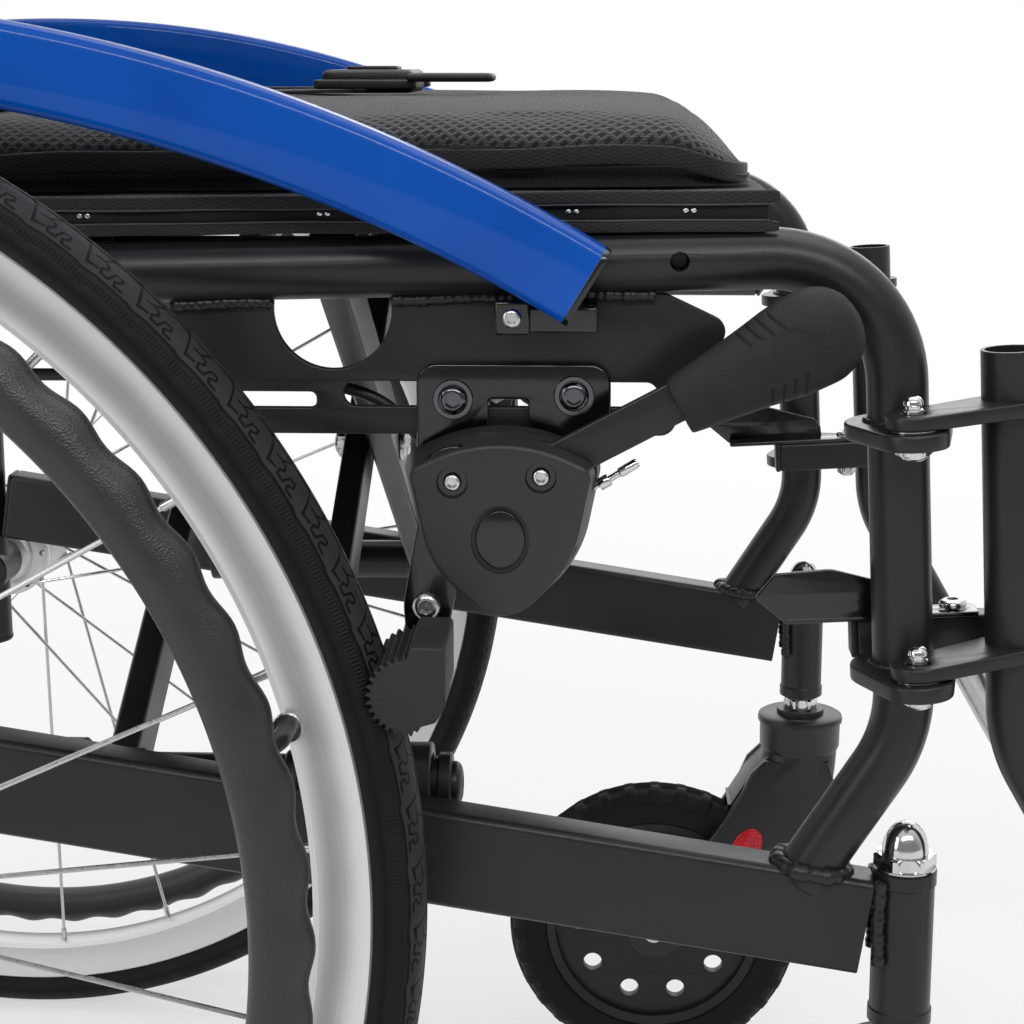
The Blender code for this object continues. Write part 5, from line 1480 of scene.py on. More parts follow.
def brakeBracket(side):
    # gloss plate on the guard plate with a square window,
    # two button screws on washers and the two pivot pins
    look = brakeLook
    outline = bend(
        [(0.2975, 0.4929), (0.2975, 0.44), (0.356, 0.44), (0.37, 0.47), (0.37, 0.4929)],
        [0.008, 0.004, 0.004, 0.006, 0.008], 8, True,
    )
    window = roundBox((0.3245, 0.3392), (0.464, 0.4796), 1.5 * mm, 5)
    shells = [sidePlate([outline, window], 0.2258, 0.2298, edge=0.9 * mm)]
    for x, z in (look["leverPivot"], look["shoePivot"]):
        shells.append(rod((x, 0.229, z), (x, 0.2582, z), 0.004))
    sidePiece("brakeBracket", shells, gloss, "frame", side, ["brake_bracket"])
    heads = []
    for x, z in ((0.3112, 0.4796), (0.3563, 0.4812)):
        washer = np.array([(0, 0), (7.2, 0), (7.6, 0.4), (7.2, 1.0), (0, 1.0)]) * mm
        heads.append(lathe(washer, (x, 0.2296, z), steps=40))
        heads.append(socketScrew((x, 0.2305, z), (0, 1, 0), 5.6 * mm, 3.4 * mm, 2.5 * mm))
    sidePiece("bracketScrews", heads, blackOxide, "frame", side)


def leverBar(low, high):
    # a flat bar with a round head on its pivot, turned by the lever's angle
    reach, width, head = brakeLook["bar"]
    spread = math.degrees(math.asin(width / 2 / head))
    outline = np.concatenate([
        arc((0, 0), head, spread, 360 - spread, 30), [(reach, -width / 2), (reach, width / 2)]
    ])
    c, s = math.cos(brakeLook["leverAngle"]), math.sin(brakeLook["leverAngle"])
    x, z = brakeLook["leverPivot"]
    return placed(
        plateShell([outline], low, high, edge=0.9 * mm), (x, 0, z), (c, 0, s), (-s, 0, c), (0, 1, 0)
    )


gripLook = {
    "profile": [   # distance from the pivot and radius
        (0.055, 9.6), (0.0554, 10.7), (0.058, 11.3), (0.068, 12.7), (0.085, 15.2), (0.097, 17.3),
        (0.105, 18.0), (0.113, 17.9), (0.12, 15.0), (0.1245, 10.4), (0.1265, 5.4), (0.1272, 1.2),
    ],
    "flatness": 0.69,
    "grooves": (0.088, 0.0925, 0.097, 0.1015),
    "grooveWidth": 0.45 * mm,
    "grooveDepth": 0.8 * mm,
    "badge": (0.101, 8.2 * mm, 7.0 * mm),   # place along the grip, half length and half width
}


def brakeLever(side):
    # the lever's bar, and its grip: a smooth profile turned about the bar and flattened across the
    # chair, with fanned grooves above and below a plain oval that is sunk in
    look = brakeLook
    y = look["leverY"]
    bar = leverBar(y - 0.002, y + 0.002)
    sidePiece("leverBar", [bar], satin, "brake_lever", side, ["brake_lever"])
    profile = smoothThrough(np.array(gripLook["profile"]) * (1, mm), 10)
    run = resample(profile, 0.5 * mm)
    along, radius = run[:, 0], run[:, 1]
    axis = np.array((math.cos(look["leverAngle"]), 0, math.sin(look["leverAngle"])))
    _, first, second = basis(axis)
    steps = 160
    a = angles(steps)[:, None]
    outward = np.cos(a) * first[1] + np.sin(a) * second[1]
    upward = np.cos(a) * first[2] + np.sin(a) * second[2]
    rise = upward * radius[None] / mm
    cut = np.zeros((steps, len(along)))
    for place in gripLook["grooves"]:
        bow = place - 0.00055 * (np.abs(rise) - 8.0)
        inArc = soft(7.6 - np.abs(rise), 0.6) * soft(np.abs(rise) - 14.5, 0.8) * (outward > 0)
        cut = np.maximum(
            cut, soft(np.abs(along[None] - bow) - gripLook["grooveWidth"], 0.4 * mm) * inArc
        )
    place, half, halfWide = gripLook["badge"]
    oval = ((along[None] - place) / half) ** 2 + (rise * mm / halfWide) ** 2
    sunk = soft(oval - 1.0, 0.12) * (outward > 0)
    reach = radius[None] - gripLook["grooveDepth"] * np.maximum(cut, 0.8 * sunk)
    c, s = math.cos(look["leverAngle"]), math.sin(look["leverAngle"])
    centre = (
        look["leverPivot"][0] + look["gripDrop"] * s, y, look["leverPivot"][1] - look["gripDrop"] * c
    )
    height = np.broadcast_to(along[None], reach.shape)
    body = turnShell(
        np.concatenate([np.zeros((steps, 1)), reach, np.zeros((steps, 1))], 1),
        np.concatenate([height[:, :1], height, height[:, -1:]], 1), centre, axis, steps,
    )
    body["points"][:, 1] = y + (body["points"][:, 1] - y) * gripLook["flatness"]
    sidePiece("leverGrip", [body], gripSoft, "brake_lever", side, ["brake_grip"])


def brakeShoe(side):
    # the arm that swings the shoe, its bolt, and the ridged rubber shoe whose face is cut to the tyre
    look = brakeLook
    x, z = look["shoePivot"]
    arm = np.concatenate([arc((x, z), 0.011, -15, 195, 24), bend([
        (0.2985, 0.43), (0.2945, 0.408), (0.296, 0.386), (0.309, 0.386), (0.313, 0.408), (0.319, 0.43),
    ], [0.02, 0.003, 0.003, 0.02], 6)])
    y = look["armY"]
    plate = sidePlate([arm], y - 0.002, y + 0.002, edge=0.6 * mm)
    sidePiece("shoeArm", [plate], gloss, "brake_arm", side, ["brake_shoe_arm"])
    bolt = [
        socketScrew((0.303, y + 0.0019, 0.4072), (0, 1, 0), 5.2 * mm, 3.2 * mm, 2.1 * mm),
        hexNut((0.303, y - 0.0018, 0.4072), (0, -1, 0), 4.4 * mm, 3.2 * mm),
    ]
    sidePiece("shoeBolt", bolt, zinc, "brake_arm", side)
    centre = (0.3, 0.3875)
    ridges = 16
    t = np.linspace(0, 1, ridges * 8 + 1)
    a = np.radians(90 + 195 * t)
    reach = 0.0136 + 0.0008 * np.clip(1.6 * np.sin(2 * math.pi * ridges * t), -1, 1)
    teeth = np.stack([centre[0] + reach * np.cos(a), centre[1] + reach * np.sin(a)], 1)
    back = bend([
        (0.305, 0.3765), (0.31, 0.378), (0.3135, 0.384), (0.3135, 0.405), (0.301, 0.405),
        (0.3002, 0.402),
    ], [0.002, 0.003, 0.002, 0.002], 5)
    shoe = sidePlate([np.concatenate([teeth, back])], 0.264, 0.308, edge=0.8 * mm)
    rubber = sidePiece(
        "brakeShoeRubber", [shoe], shoeRubber, "brake_arm", side, ["brake_shoe"], sharp=30
    )
    half = [(0.3053, -0.0068), (0.3022, -0.0134), (0.2966, -0.0185), (0.26, -0.0185)]
    clear = smoothThrough([(0.306, 0.0), *mirrored(half)], 3, closed=True)
    tyreRoom = lathe(clear, (0, layout["wheelY"], layout["axleZ"]), steps=300, closed=True)
    carve(rubber, [tyreRoom], side)
    neck = rod((0.304, y + 0.0022, 0.393), (0.304, 0.266, 0.393), 0.005)
    sidePiece("shoeNeck", [neck], shoeRubber, "brake_arm", side)


def cableEnd(side):
    # the inner wire where it leaves the housing: bare strand, adjuster collar and crimped ferrule
    start, end = np.array((0.356, 0.243, 0.444)), np.array((0.3805, 0.243, 0.459))
    along = unit(end - start)
    length = float(np.linalg.norm(end - start))
    profile = np.array([
        (0, 0), (0.8, 0), (0.8, 11.5), (2.2, 11.7), (2.4, 12.2), (2.4, 15.6), (2.2, 16.0), (1.3, 16.2),
        (1.3, 20.2), (1.8, 20.6), (1.9, 21.0), (1.9, length / mm - 1.5), (1.5, length / mm - 0.5),
        (0, length / mm),
    ]) * mm
    shell = lathe(profile, start, along, 24)
    sidePiece("cableEndFerrule", [shell], chrome, "frame", side)


# Leg rest hanger, footrest and armrest

legLook = {
    "top": (0.5179, 0.499),      # x and z of the hanger tube's open end
    "corner": (0.5268, 0.348),   # and of the corner of its bend
    "bendR": 0.06,
    "bore": 0.0101,
    "slope": math.radians(60),
    "hanger": 0.09,              # how far down the slope the hanger's tube ends
    "clamp": 0.074,              # where its clamp screw sits
    "leg": 0.045,                # where the footrest's leg starts inside it
    "legR": 0.0095,
    "foot": (0.697, 0.2),        # x and z of the leg's front end
    "ear": (0.0102, 0.0415, 0.0135),   # radius at the pin, distance to the tube and radius there
    "latch": (0.021, 0.1955),    # the latch bolt, forwards of the hinge and out
}


def legPoint(run):
    # a place on the leg's middle line: the corner + run (cos slope, -sin slope)
    x, z = legLook["corner"]
    down = np.array((math.cos(legLook["slope"]), 0, -math.sin(legLook["slope"])))
    return np.array((x, layout["track"], z)) + down * run


def earOutline():
    # two circles joined by their common tangents, in the hinge's plane
    eyeR, ahead, collarR = legLook["ear"]
    eye, collar = np.array((0.0, layout["hingeY"])), np.array((ahead, layout["track"]))
    slope = math.degrees(math.atan2(collar[1] - eye[1], collar[0] - eye[0]))
    spread = math.degrees(math.acos((collarR - eyeR) / float(np.linalg.norm(collar - eye))))
    return np.concatenate([
        arc(eye, eyeR, slope + 180 - spread, slope + 180 + spread, 20),
        arc(collar, collarR, slope - 180 + spread, slope + 180 - spread, 30),
    ])


def legHanger(side):
    # open-topped bent tube, an ear on each hinge pin, and
    # the square latch arm that reaches in to the lock
    look, r = legLook, layout["tubeR"]
    top = flatIn([look["top"]], layout["track"])[0]
    path = bend([top, legPoint(0), legPoint(look["hanger"])], [look["bendR"]], 16)
    shells = [pipeShell(path, r, look["bore"])]
    pinHole = circle(4.3 * mm, 24) + (0.0, layout["hingeY"])
    for drop in (0, layout["hingeDrop"]):
        shells.append(leaningPlate([earOutline(), pinHole], 0.003 - drop, 0.0085 - drop, edge=0.9 * mm))
    armOutline = roundBox((-0.017, 0.049), (0.189, 0.201), 1.2 * mm, 4)
    stubOutline = roundBox((0.033, 0.0489), (0.195, 0.228), 1.2 * mm, 4)
    shells.append(leaningPlate([armOutline], -0.0953, -0.0803, edge=1.2 * mm))
    shells.append(leaningPlate([stubOutline], -0.0952, -0.0804, edge=1.2 * mm))
    sidePiece("legHanger", shells, satin, "hanger", side, ["hanger"])
    capOutline = roundBox((-0.0194, -0.0168), (0.1887, 0.2013), 0.8 * mm, 4)
    sidePiece(
        "latchArmCap", [leaningPlate([capOutline], -0.0955, -0.0801, edge=0.8 * mm)], nylon, "hanger",
        side
    )
    clamp = legPoint(look["clamp"]) + np.array((0, r - 0.6 * mm, 0))
    bright = [
        rod(leaning(*look["latch"], -0.083), leaning(*look["latch"], -0.0772), 0.003),
        socketScrew(leaning(*look["latch"], -0.0774), leanAxis, 5.4 * mm, 2.8 * mm, 2.2 * mm),
        hexNut(leaning(*look["latch"], -0.0953), -leanAxis, 4.6 * mm, 3.4 * mm, 2.0 * mm),
        socketScrew(clamp, (0, 1, 0), 4.4 * mm, 3.0 * mm, 2.0 * mm),
    ]
    sidePiece("hangerBolts", bright, zinc, "hanger", side)


def hangerLock(side):
    # folded lock plate: a flange on the latch arm's pivot and an upright fin for the thumb
    hole = circle(3.5 * mm, 20) + legLook["latch"]
    corners = [(-0.045, 0.19), (0.03, 0.19), (0.03, 0.2045), (-0.045, 0.2045)]
    flange = leaningPlate(
        [bend(corners, [0.002, 0.004, 0.002, 0.001], 5, True), hole], -0.08, -0.078, edge=0.5 * mm
    )
    fin = bend([
        (-0.045, -0.0799), (-0.0569, -0.0689), (-0.0483, -0.0595), (-0.0268, -0.0586),
        (0.0037, -0.0676), (0.0075, -0.0725), (0.008, -0.0799),
    ], [0.001, 0.002, 0.003, 0.01, 0.003, 0.003, 0.001], 5, True)
    fin = placed(
        plateShell([fin], 0.2024, 0.2044, edge=0.6 * mm), leaning(0, 0, 0), leanAhead, leanAxis,
        (0, 1, 0)
    )
    sidePiece("lockPlate", [flange, fin], gloss, "hanger_lock", side, ["hanger_lock"])


def footrest(side):
    # the leg that slides in the hanger's tube, bent forwards at its foot to carry the footplate
    y, look = layout["track"], legLook
    x, z = look["foot"]
    knee = legPoint((look["corner"][1] - z) / math.sin(look["slope"]))
    path = bend([legPoint(look["leg"]), knee, (x, y, z)], [0.02], 14)
    sidePiece(
        "footrestLeg", [tubeShell(path, look["legR"], 32)], spokeSteel, "hanger", side,
        ["footrest_tube"]
    )
    plug = np.array([(0, 0), (7.4, 0), (9.4, 0.8), (9.8, 1.8), (9.0, 3.4), (5.0, 4.2), (0, 4.4)]) * mm
    sidePiece("footrestPlug", [lathe(plug, (0.6955, y, z), (1, 0, 0), 32)], nylon, "hanger", side)


footplateLook = {
    "corners": [(0.605, 0.195), (0.745, 0.195), (0.745, 0.345), (0.605, 0.345)],
    "cornerR": [0.012, 0.012, 0.03, 0.03],
    "faces": (0.202, 0.2062),
    "rim": (0.6 * mm, 5.0 * mm),      # how far in from the outline the raised rim starts and ends
    "bars": (11, 0.224, 0.0105),      # how many tread bars, the lowest one's height and the step
}


def footplate(side):
    # moulded plate that stands up at rest: rounded outline,
    # a raised rim, tread bars and the barrel on the leg
    look, z = footplateLook, legLook["foot"][1]
    y = layout["track"]
    outline = turned(bend(look["corners"], look["cornerR"], 10, True))
    shells = [sidePlate([outline], *look["faces"], edge=1.4 * mm)]
    shells.append(sidePlate(
        [insetOutline(outline, inset) for inset in look["rim"]], 0.205, 0.2072, edge=0.8 * mm
    ))
    count, first, step = look["bars"]
    for k in range(count):
        rise = first + step * k
        bar = roundBox((0.615, 0.735), (rise - 0.0021, rise + 0.0021), 2.0 * mm, 5)
        shells.append(sidePlate([bar], 0.2055, 0.2071, edge=0.7 * mm))
    barrel = collarOf(0.0103, 0.013, 0.64, 0.69, 0.8 * mm)
    shells.append(lathe(barrel, (0, y, z), (1, 0, 0), 56, closed=True))
    shells.append(block((0.6405, 0.205, 0.1955), (0.6895, 0.213, 0.21), 1.2 * mm))
    sidePiece("footPlate", shells, nylon, "footplate", side, ["footplate"])


armLook = {
    "y": 0.2525,
    "front": (0.285, 0.33),                   # where the bar bends down, and where it ends
    "drop": 0.026,
    "barR": 0.0095,
    "pad": ((0.03, 0.29), (0.2405, 0.2805)),  # where the pad starts and ends, forwards and out
    "padCorner": 0.0165,
    "padZ": (0.0098, 0.0358),                 # its underside and top above the bar's middle
    "padSection": [   # height and inset, from the middle of the underside to the crown
        (0.0, 0.019), (0.0, 0.004), (0.001, 0.0016), (0.003, 0.0005), (0.008, 0.0), (0.012, 0.0),
        (0.0124, 0.0009), (0.0128, 0.0), (0.017, 0.0), (0.021, 0.0014), (0.024, 0.0042),
        (0.0256, 0.0085), (0.0262, 0.0135), (0.0265, 0.019),
    ],
}


def armrest(side):
    # the swing-up bar with its eye on the post's pin, an end plug, and the skinned foam pad on top
    look, (x, z) = armLook, postLook["pin"]
    bendX, endX = look["front"]
    path = bend(flatIn([(x + 0.01, z), (bendX, z), (endX, z - look["drop"])], look["y"]), [0.04], 16)
    eye = collarOf(0.0062, 0.0125, 0.2445, 0.2605, 0.7 * mm)
    shells = [tubeShell(path, look["barR"], 32), lathe(eye, (x, 0, z), closed=True)]
    sidePiece("armrestBar", shells, satin, "armrest", side, ["armrest"])
    end, back = path[-1], path[-2]
    plug = np.array([
        (0, -1.0), (9.3, -1.0), (9.8, -0.4), (9.8, 0.6), (8.4, 2.2), (4.0, 3.0), (0, 3.1)
    ]) * mm
    sidePiece("armrestPlug", [lathe(plug, end, unit(end - back), 32)], nylon, "armrest", side)
    outline = turned(roundBox(*look["pad"], look["padCorner"], 12))
    low, high = (z + height for height in look["padZ"])
    tall = look["padSection"][-1][0]
    rings = []
    for height, inset in look["padSection"]:
        level = np.full((len(outline), 1), low + (high - low) * height / tall)
        rings.append(np.concatenate([insetOutline(outline, inset), level], 1))
    pad = gridShell(np.stack(rings), closeColumns=True, caps=True)
    cushion = sidePiece("armPad", [pad], padFoam, "armrest", side, ["arm_pad"], sharp=60)


handleLook = {
    "front": -0.092,
    "length": 0.087,
    "radius": 0.0156,
    "waves": (0.9 * mm, 18.5 * mm),   # height and pitch of the finger waves
    "lip": (1.6 * mm, 4.0 * mm),      # height and width of the lip at the front
    "ribs": (0.35 * mm, 3.1 * mm),    # height and pitch of the ribs
    "leverPin": (-0.084, 0.889),
}


def pushHandle(side):
    # moulded grip: radius + wave cos(2 pi run / pitch) + a lip that dies away as
    # exp(-(run / width)^2), less the ribs; and the attendant's brake lever under it
    y, z, look = layout["track"], postLook["top"][1], handleLook
    run = np.linspace(0, look["length"], 90)
    (waveUp, wavePitch), (lipUp, lipWide), (ribUp, ribPitch) = look["waves"], look["lip"], look["ribs"]
    lip = lipUp * np.exp(-(run / lipWide) ** 2)
    wave = look["radius"] + waveUp * np.cos(2 * math.pi * run / wavePitch) + lip
    ribs = ribUp * (np.sin(2 * math.pi * run / ribPitch) > 0.3)
    outer = np.stack([wave - ribs, -run], 1)
    end = np.array([(0.014, -0.0876), (0.01, -0.0882), (0, -0.0884)])
    bore = np.array([(0, -0.0833), (0.0122, -0.0833), (0.0122, 0)])
    inside = np.concatenate([outer, end, bore])
    shell = lathe(inside, (look["front"], y, z), (1, 0, 0), 72, closed=True)
    sidePiece("pushGrip", [shell], gripSoft, "frame", side, ["push_grip"])
    outline = bend([
        (-0.079, 0.8935), (-0.079, 0.8845), (-0.088, 0.8835), (-0.11, 0.879), (-0.16, 0.8745),
        (-0.168, 0.876), (-0.168, 0.88), (-0.16, 0.8805), (-0.11, 0.887), (-0.088, 0.8935),
    ], [0.003, 0.003, 0.02, 0.04, 0.006, 0.0018, 0.0018, 0.006, 0.04, 0.006], 6, True)
    hole = circle(2.9 * mm, 20) + look["leverPin"]
    lever = sidePlate([outline, hole], y - 0.004, y + 0.004, edge=1.6 * mm)
    sidePiece("handLever", [lever], satin, "attendant_lever", side, ["attendant_lever"])


# x, y outwards and z, from the hand lever down the post, inside the guard plate and out to the brake
cableRoute = [
    (-0.07, 0.2235, 0.885), (-0.062, 0.2235, 0.85), (-0.054, 0.2235, 0.8), (-0.046, 0.2235, 0.74),
    (-0.033, 0.2235, 0.66), (-0.02, 0.2225, 0.59), (-0.0155, 0.215, 0.54), (-0.005, 0.207, 0.508),
    (0.02, 0.208, 0.49), (0.07, 0.214, 0.486), (0.15, 0.216, 0.486), (0.23, 0.216, 0.486),
    (0.28, 0.216, 0.478), (0.305, 0.2165, 0.452), (0.318, 0.221, 0.432), (0.324, 0.231, 0.427),
    (0.326, 0.242, 0.43),
]


def brakeCable(side):
    # sheathed cable held all the way: a smooth curve through
    # its route, with crimped ends and two ties on the post
    path = smoothThrough(cableRoute, 12)
    sheath = [tubeShell(path, 0.0024, 14)]
    sidePiece("brakeCableSheath", sheath, nylon, "frame", side, ["brake_cable"])
    crimps = []
    for end, along in ((path[0], path[14]), (path[-1], path[-14])):
        profile = np.array([(0, -1.0), (2.6, -1.0), (3.0, -0.6), (3.0, 7.0), (2.6, 8.0), (0, 8.0)]) * mm
        crimps.append(lathe(profile, end, unit(along - end), 24))
    sidePiece("cableCrimps", crimps, chrome, "frame", side)
    ties = []
    for z in (0.66, 0.8):
        cableX = float(np.interp(z, path[::-1, 2], path[::-1, 0]))
        a = angles(64)
        middle, half = (postX(z) + cableX) / 2, (postX(z) - cableX) / 2
        reach = half + np.where(np.cos(a) > 0, layout["tubeR"], 0.0026) + 0.0008
        out = layout["track"] + (0.0125 - 0.0032 * (1 - np.cos(a))) * np.sin(a)
        loop = np.stack([middle + reach * np.cos(a), out, z + 0 * a], 1)
        strapSection = roundBox((-1.8 * mm, 1.8 * mm), (-0.6 * mm, 0.6 * mm), 0.3 * mm, 2)
        ties.append(sweepShell(loop, strapSection[:, ::-1], across=(0, 0, 1), closed=True))
    sidePiece("cableTies", ties, nylon, "frame", side)


# Folding cross brace

braceLook = {
    "tubeR": 0.011,
    "headR": 0.0125,
    "thick": 0.012,
    "height": 0.024,
    "high": 0.5265,              # height of the seat rails
    "pivot": (0.145, 0.303),     # where the lower tube starts and ends
    "rail": (0.03, 0.425),       # and the seat rail
    "firstX": (0.25, 0.175),     # the bars of the first half, front and rear
    "secondX": (0.2635, 0.1885),
}


def crossBrace(name, side, armX, body):
    # one scissor half: two flat bars from the lower pivot
    # tube to the seat rail on the other side, with collars
    look = braceLook
    y, low, high = side * layout["bracePivot"][0], layout["bracePivot"][1], look["high"]
    shells = [
        rod(*((x, y, low) for x in look["pivot"]), look["tubeR"], 36),
        rod(*((x, -y, high) for x in look["rail"]), look["tubeR"], 40),
    ]
    for start, end in ((0.3025, 0.308), (0.14, 0.1455)):
        shells.append(rod((start, y, low), (end, y, low), look["headR"], 36))
    shells.append(socketScrew((0.3079, y, low), (1, 0, 0), 9.0 * mm, 4.4 * mm, 3.0 * mm))
    h, w = look["height"] / 2, look["thick"] / 2
    section = roundBox((-h, h), (-w, w), 1.8 * mm, 6)
    for x in armX:
        ends = np.array([(x, y, low), (x, -y, high)])
        shells.append(sweepShell(ends, section, across=(1, 0, 0)))
        for place in ends:
            shells.append(rod(
                place - (0.009, 0, 0), place + (0.009, 0, 0), look["tubeR"] + 1.5 * mm, 36
            ))
    return makePiece(name, shells, satin, body, [body])


def crossBraces():
    # both halves, their bolts where the bars meet, and the plugs in the seat rails' ends
    firstX, secondX = braceLook["firstX"], braceLook["secondX"]
    crossBrace("scissorFirst", -1, firstX, "brace_a")
    crossBrace("scissorSecond", 1, secondX, "brace_b")
    middle = (layout["bracePivot"][1] + braceLook["high"]) / 2
    bolts = []
    for first, second in zip(firstX, secondX):
        face = second + braceLook["thick"] / 2
        bolts.append(rod((first, 0, middle), (face + 0.003, 0, middle), 0.005))
        bolts.append(socketScrew((face + 0.0004, 0, middle), (1, 0, 0), 8.8 * mm, 4.2 * mm, 2.6 * mm))
        back = first - braceLook["thick"] / 2 + 0.0002
        bolts.append(hexNut((back, 0, middle), (-1, 0, 0), 6.4 * mm, 4.6 * mm, 2.0 * mm))
    makePiece("scissorBolts", bolts, zinc, "brace_a")
    plugs = []
    for y in (-layout["bracePivot"][0], layout["bracePivot"][0]):
        for x, turn in zip(braceLook["rail"], (-1, 1)):
            profile = np.array([
                (0, 0), (10.4, 0), (11.2, 0.5), (11.2, 1.0), (9.0, 2.6), (4.0, 3.2), (0, 3.3)
            ]) * mm
            plugs.append((y, lathe(profile, (x, y, braceLook["high"]), (turn, 0, 0), 32)))
    for name, body, wanted in (("railPlugsFirst", "brace_a", 1), ("railPlugsSecond", "brace_b", -1)):
        makePiece(name, [shell for y, shell in plugs if y * wanted > 0], nylon, body)


# Seat and back upholstery

seatLook = {
    "x": (0.025, 0.4285),
    "halfWidth": 0.211,
    "bottom": 0.5568,
    "edge": 0.5785,
    "crown": 0.0108,
    "pinch": 6 * mm,
    "tapeZ": (0.5648, 0.5722),
    "shoulder": 0.017,
    "wallInset": 5 * mm,
    "cornerFront": 0.036,
    "cornerRear": 0.034,
    "planSteps": 420,        # places round the cushion's outline
    "droop": 8.6 * mm,       # how far the tape sinks towards the front edge
    "droopFrom": (0.388, 0.428),
    "frontLean": 6.5 * mm,   # how far the front wall leans back over that rise
}


def nearFront(x):
    # smooth step from 0 to 1 between the two places
    start, end = seatLook["droopFrom"]
    t = np.clip((x - start) / (end - start), 0, 1)
    return t * t * (3 - 2 * t)


def seatFall(x):
    # how far the seat lies below its front edge's height: drop x distance behind that edge, in metres
    return layout["seatDrop"] * (layout["seatFront"] - x)


def cushionTopZ(x, y):
    # crowned top: edge + crown (1 - u^8)(1 - v^6), with u and v from -1 to 1 across the cushion
    look = seatLook
    u = (2 * x - look["x"][0] - look["x"][1]) / (look["x"][1] - look["x"][0])
    v = y / look["halfWidth"]
    return look["edge"] + look["crown"] * (1 - np.clip(u, -1, 1) ** 8) * (1 - np.clip(v, -1, 1) ** 6)


def cushionPlan():
    # the cushion seen from above: a rounded rectangle whose sides draw in between its corners
    (rear, front), half = seatLook["x"], seatLook["halfWidth"]
    rearR, frontR = seatLook["cornerRear"], seatLook["cornerFront"]
    outline = bend(
        [(rear, -half), (front, -half), (front, half), (rear, half)],
        [rearR, frontR, frontR, rearR], 16, True,
    )
    outline = resample(np.concatenate([outline, outline[:1]]), 1.0 * mm)
    around = float(np.linalg.norm(np.diff(outline, axis=0), axis=1).sum())
    outline = resample(outline, around / seatLook["planSteps"])[:-1]
    middle = np.array(((rear + front) / 2, 0))
    u, v = ((outline - middle) / ((front - rear) / 2, half)).T
    drawU, drawV = np.sign(u) * np.abs(u) ** 3 * (1 - v**2), np.sign(v) * np.abs(v) ** 3 * (1 - u**2)
    draw = seatLook["pinch"] * np.stack([drawU, drawV], 1)
    return turned(outline - draw)


def cushionShell():
    # rings from the middle of the base, up the drawn-in wall,
    # over the tape line and shoulder, to the crown's middle
    look = seatLook
    plan = cushionPlan()
    middle = np.array(((look["x"][0] + look["x"][1]) / 2, 0))
    run = np.arange(len(plan)) / len(plan) * 2 * math.pi
    tapeLow, tapeHigh = look["tapeZ"]
    levels = []
    for share in np.linspace(0, 0.97, 8):
        levels.append((
            middle + (insetOutline(plan, look["wallInset"]) - middle) * share, look["bottom"], 0
        ))
    for t in np.linspace(0, 1, 12):
        belly = 0.35 + 0.65 * math.sin(math.pi * min(1.0, 0.12 + t)) ** 0.8
        inset = look["wallInset"] * belly * (1 - 0.8 * t**6)
        height = look["bottom"] + 0.6 * mm + t * (tapeLow - look["bottom"] - 0.6 * mm)
        levels.append((insetOutline(plan, inset), height, 1))
    for t in np.linspace(0.1, 1, 5):
        levels.append((insetOutline(plan, 1.4 * mm), tapeLow + t * (tapeHigh - tapeLow), 1))
    for t in np.linspace(0.04, 1, 22):
        inset = 1.0 * mm + look["shoulder"] * (1 - math.cos(t * math.pi / 2)) ** 1.15
        ring = insetOutline(plan, 1.0 * mm)
        ring = middle + (ring - middle) * (1 - inset / 0.2)
        top = cushionTopZ(ring[:, 0], ring[:, 1])
        levels.append((ring, tapeHigh + (top - tapeHigh) * math.sin(t * math.pi / 2) ** 0.9, 2))
    last = levels[-1][0]
    for t in np.linspace(0.02, 1, 60):
        ring = middle + (last - middle) * (1 - t)
        levels.append((ring, cushionTopZ(ring[:, 0], ring[:, 1]), 3))
    grid = np.stack([
        np.concatenate([ring, np.broadcast_to(z, len(ring))[:, None]], 1)
        for ring, z, _ in levels
    ])
    kind = np.array([k for _, _, k in levels])[:, None]   # 0 base, 1 wall, 2 shoulder, 3 crown
    wallWave = 0.0011 * np.sin(23 * run + 1.7 * np.sin(3 * run)) + 0.0008 * np.sin(41 * run + 2.0)
    outwards = unit(np.concatenate([plan - middle, np.zeros((len(plan), 1))], 1))
    grid = grid + (np.where(kind == 1, 1.0, 0.0) * wallWave[None])[..., None] * outwards[None] * 0.7
    soften = np.where(kind == 2, 1.0, 0.0) * (0.0007 * np.sin(17 * run + 0.6))[None]
    dimple = 0.0009 * np.sin(31 * grid[..., 0] + 3) * np.sin(27 * grid[..., 1] + 1)
    grid[..., 2] += soften + np.where(kind == 3, 1.0, 0.0) * dimple
    share = np.clip((grid[..., 2] - look["bottom"]) / (tapeHigh - look["bottom"]), 0, 1)
    front = nearFront(grid[..., 0]) * share
    grid[..., 2] -= seatFall(grid[..., 0]) + look["droop"] * front
    grid[..., 0] -= look["frontLean"] * front
    shell = gridShell(grid, closeColumns=True)
    step = np.linalg.norm(np.diff(grid, axis=0), axis=2)
    plain = np.linalg.norm(np.diff(grid[..., :2], axis=0), axis=2)
    beyond = np.concatenate([
        np.zeros((1, grid.shape[1])), np.cumsum((step - plain)[::-1], axis=0)
    ])[::-1]
    unrolled = grid[..., :2] + beyond[..., None] * outwards[None, :, :2]
    shell["uv"] = unrolled.reshape(-1, 2)[shell["quads"].ravel()]
    rows = np.repeat(kind[:-1, 0], grid.shape[1])
    shell["paint"] = np.where(rows >= 2, 0, 1)
    return shell


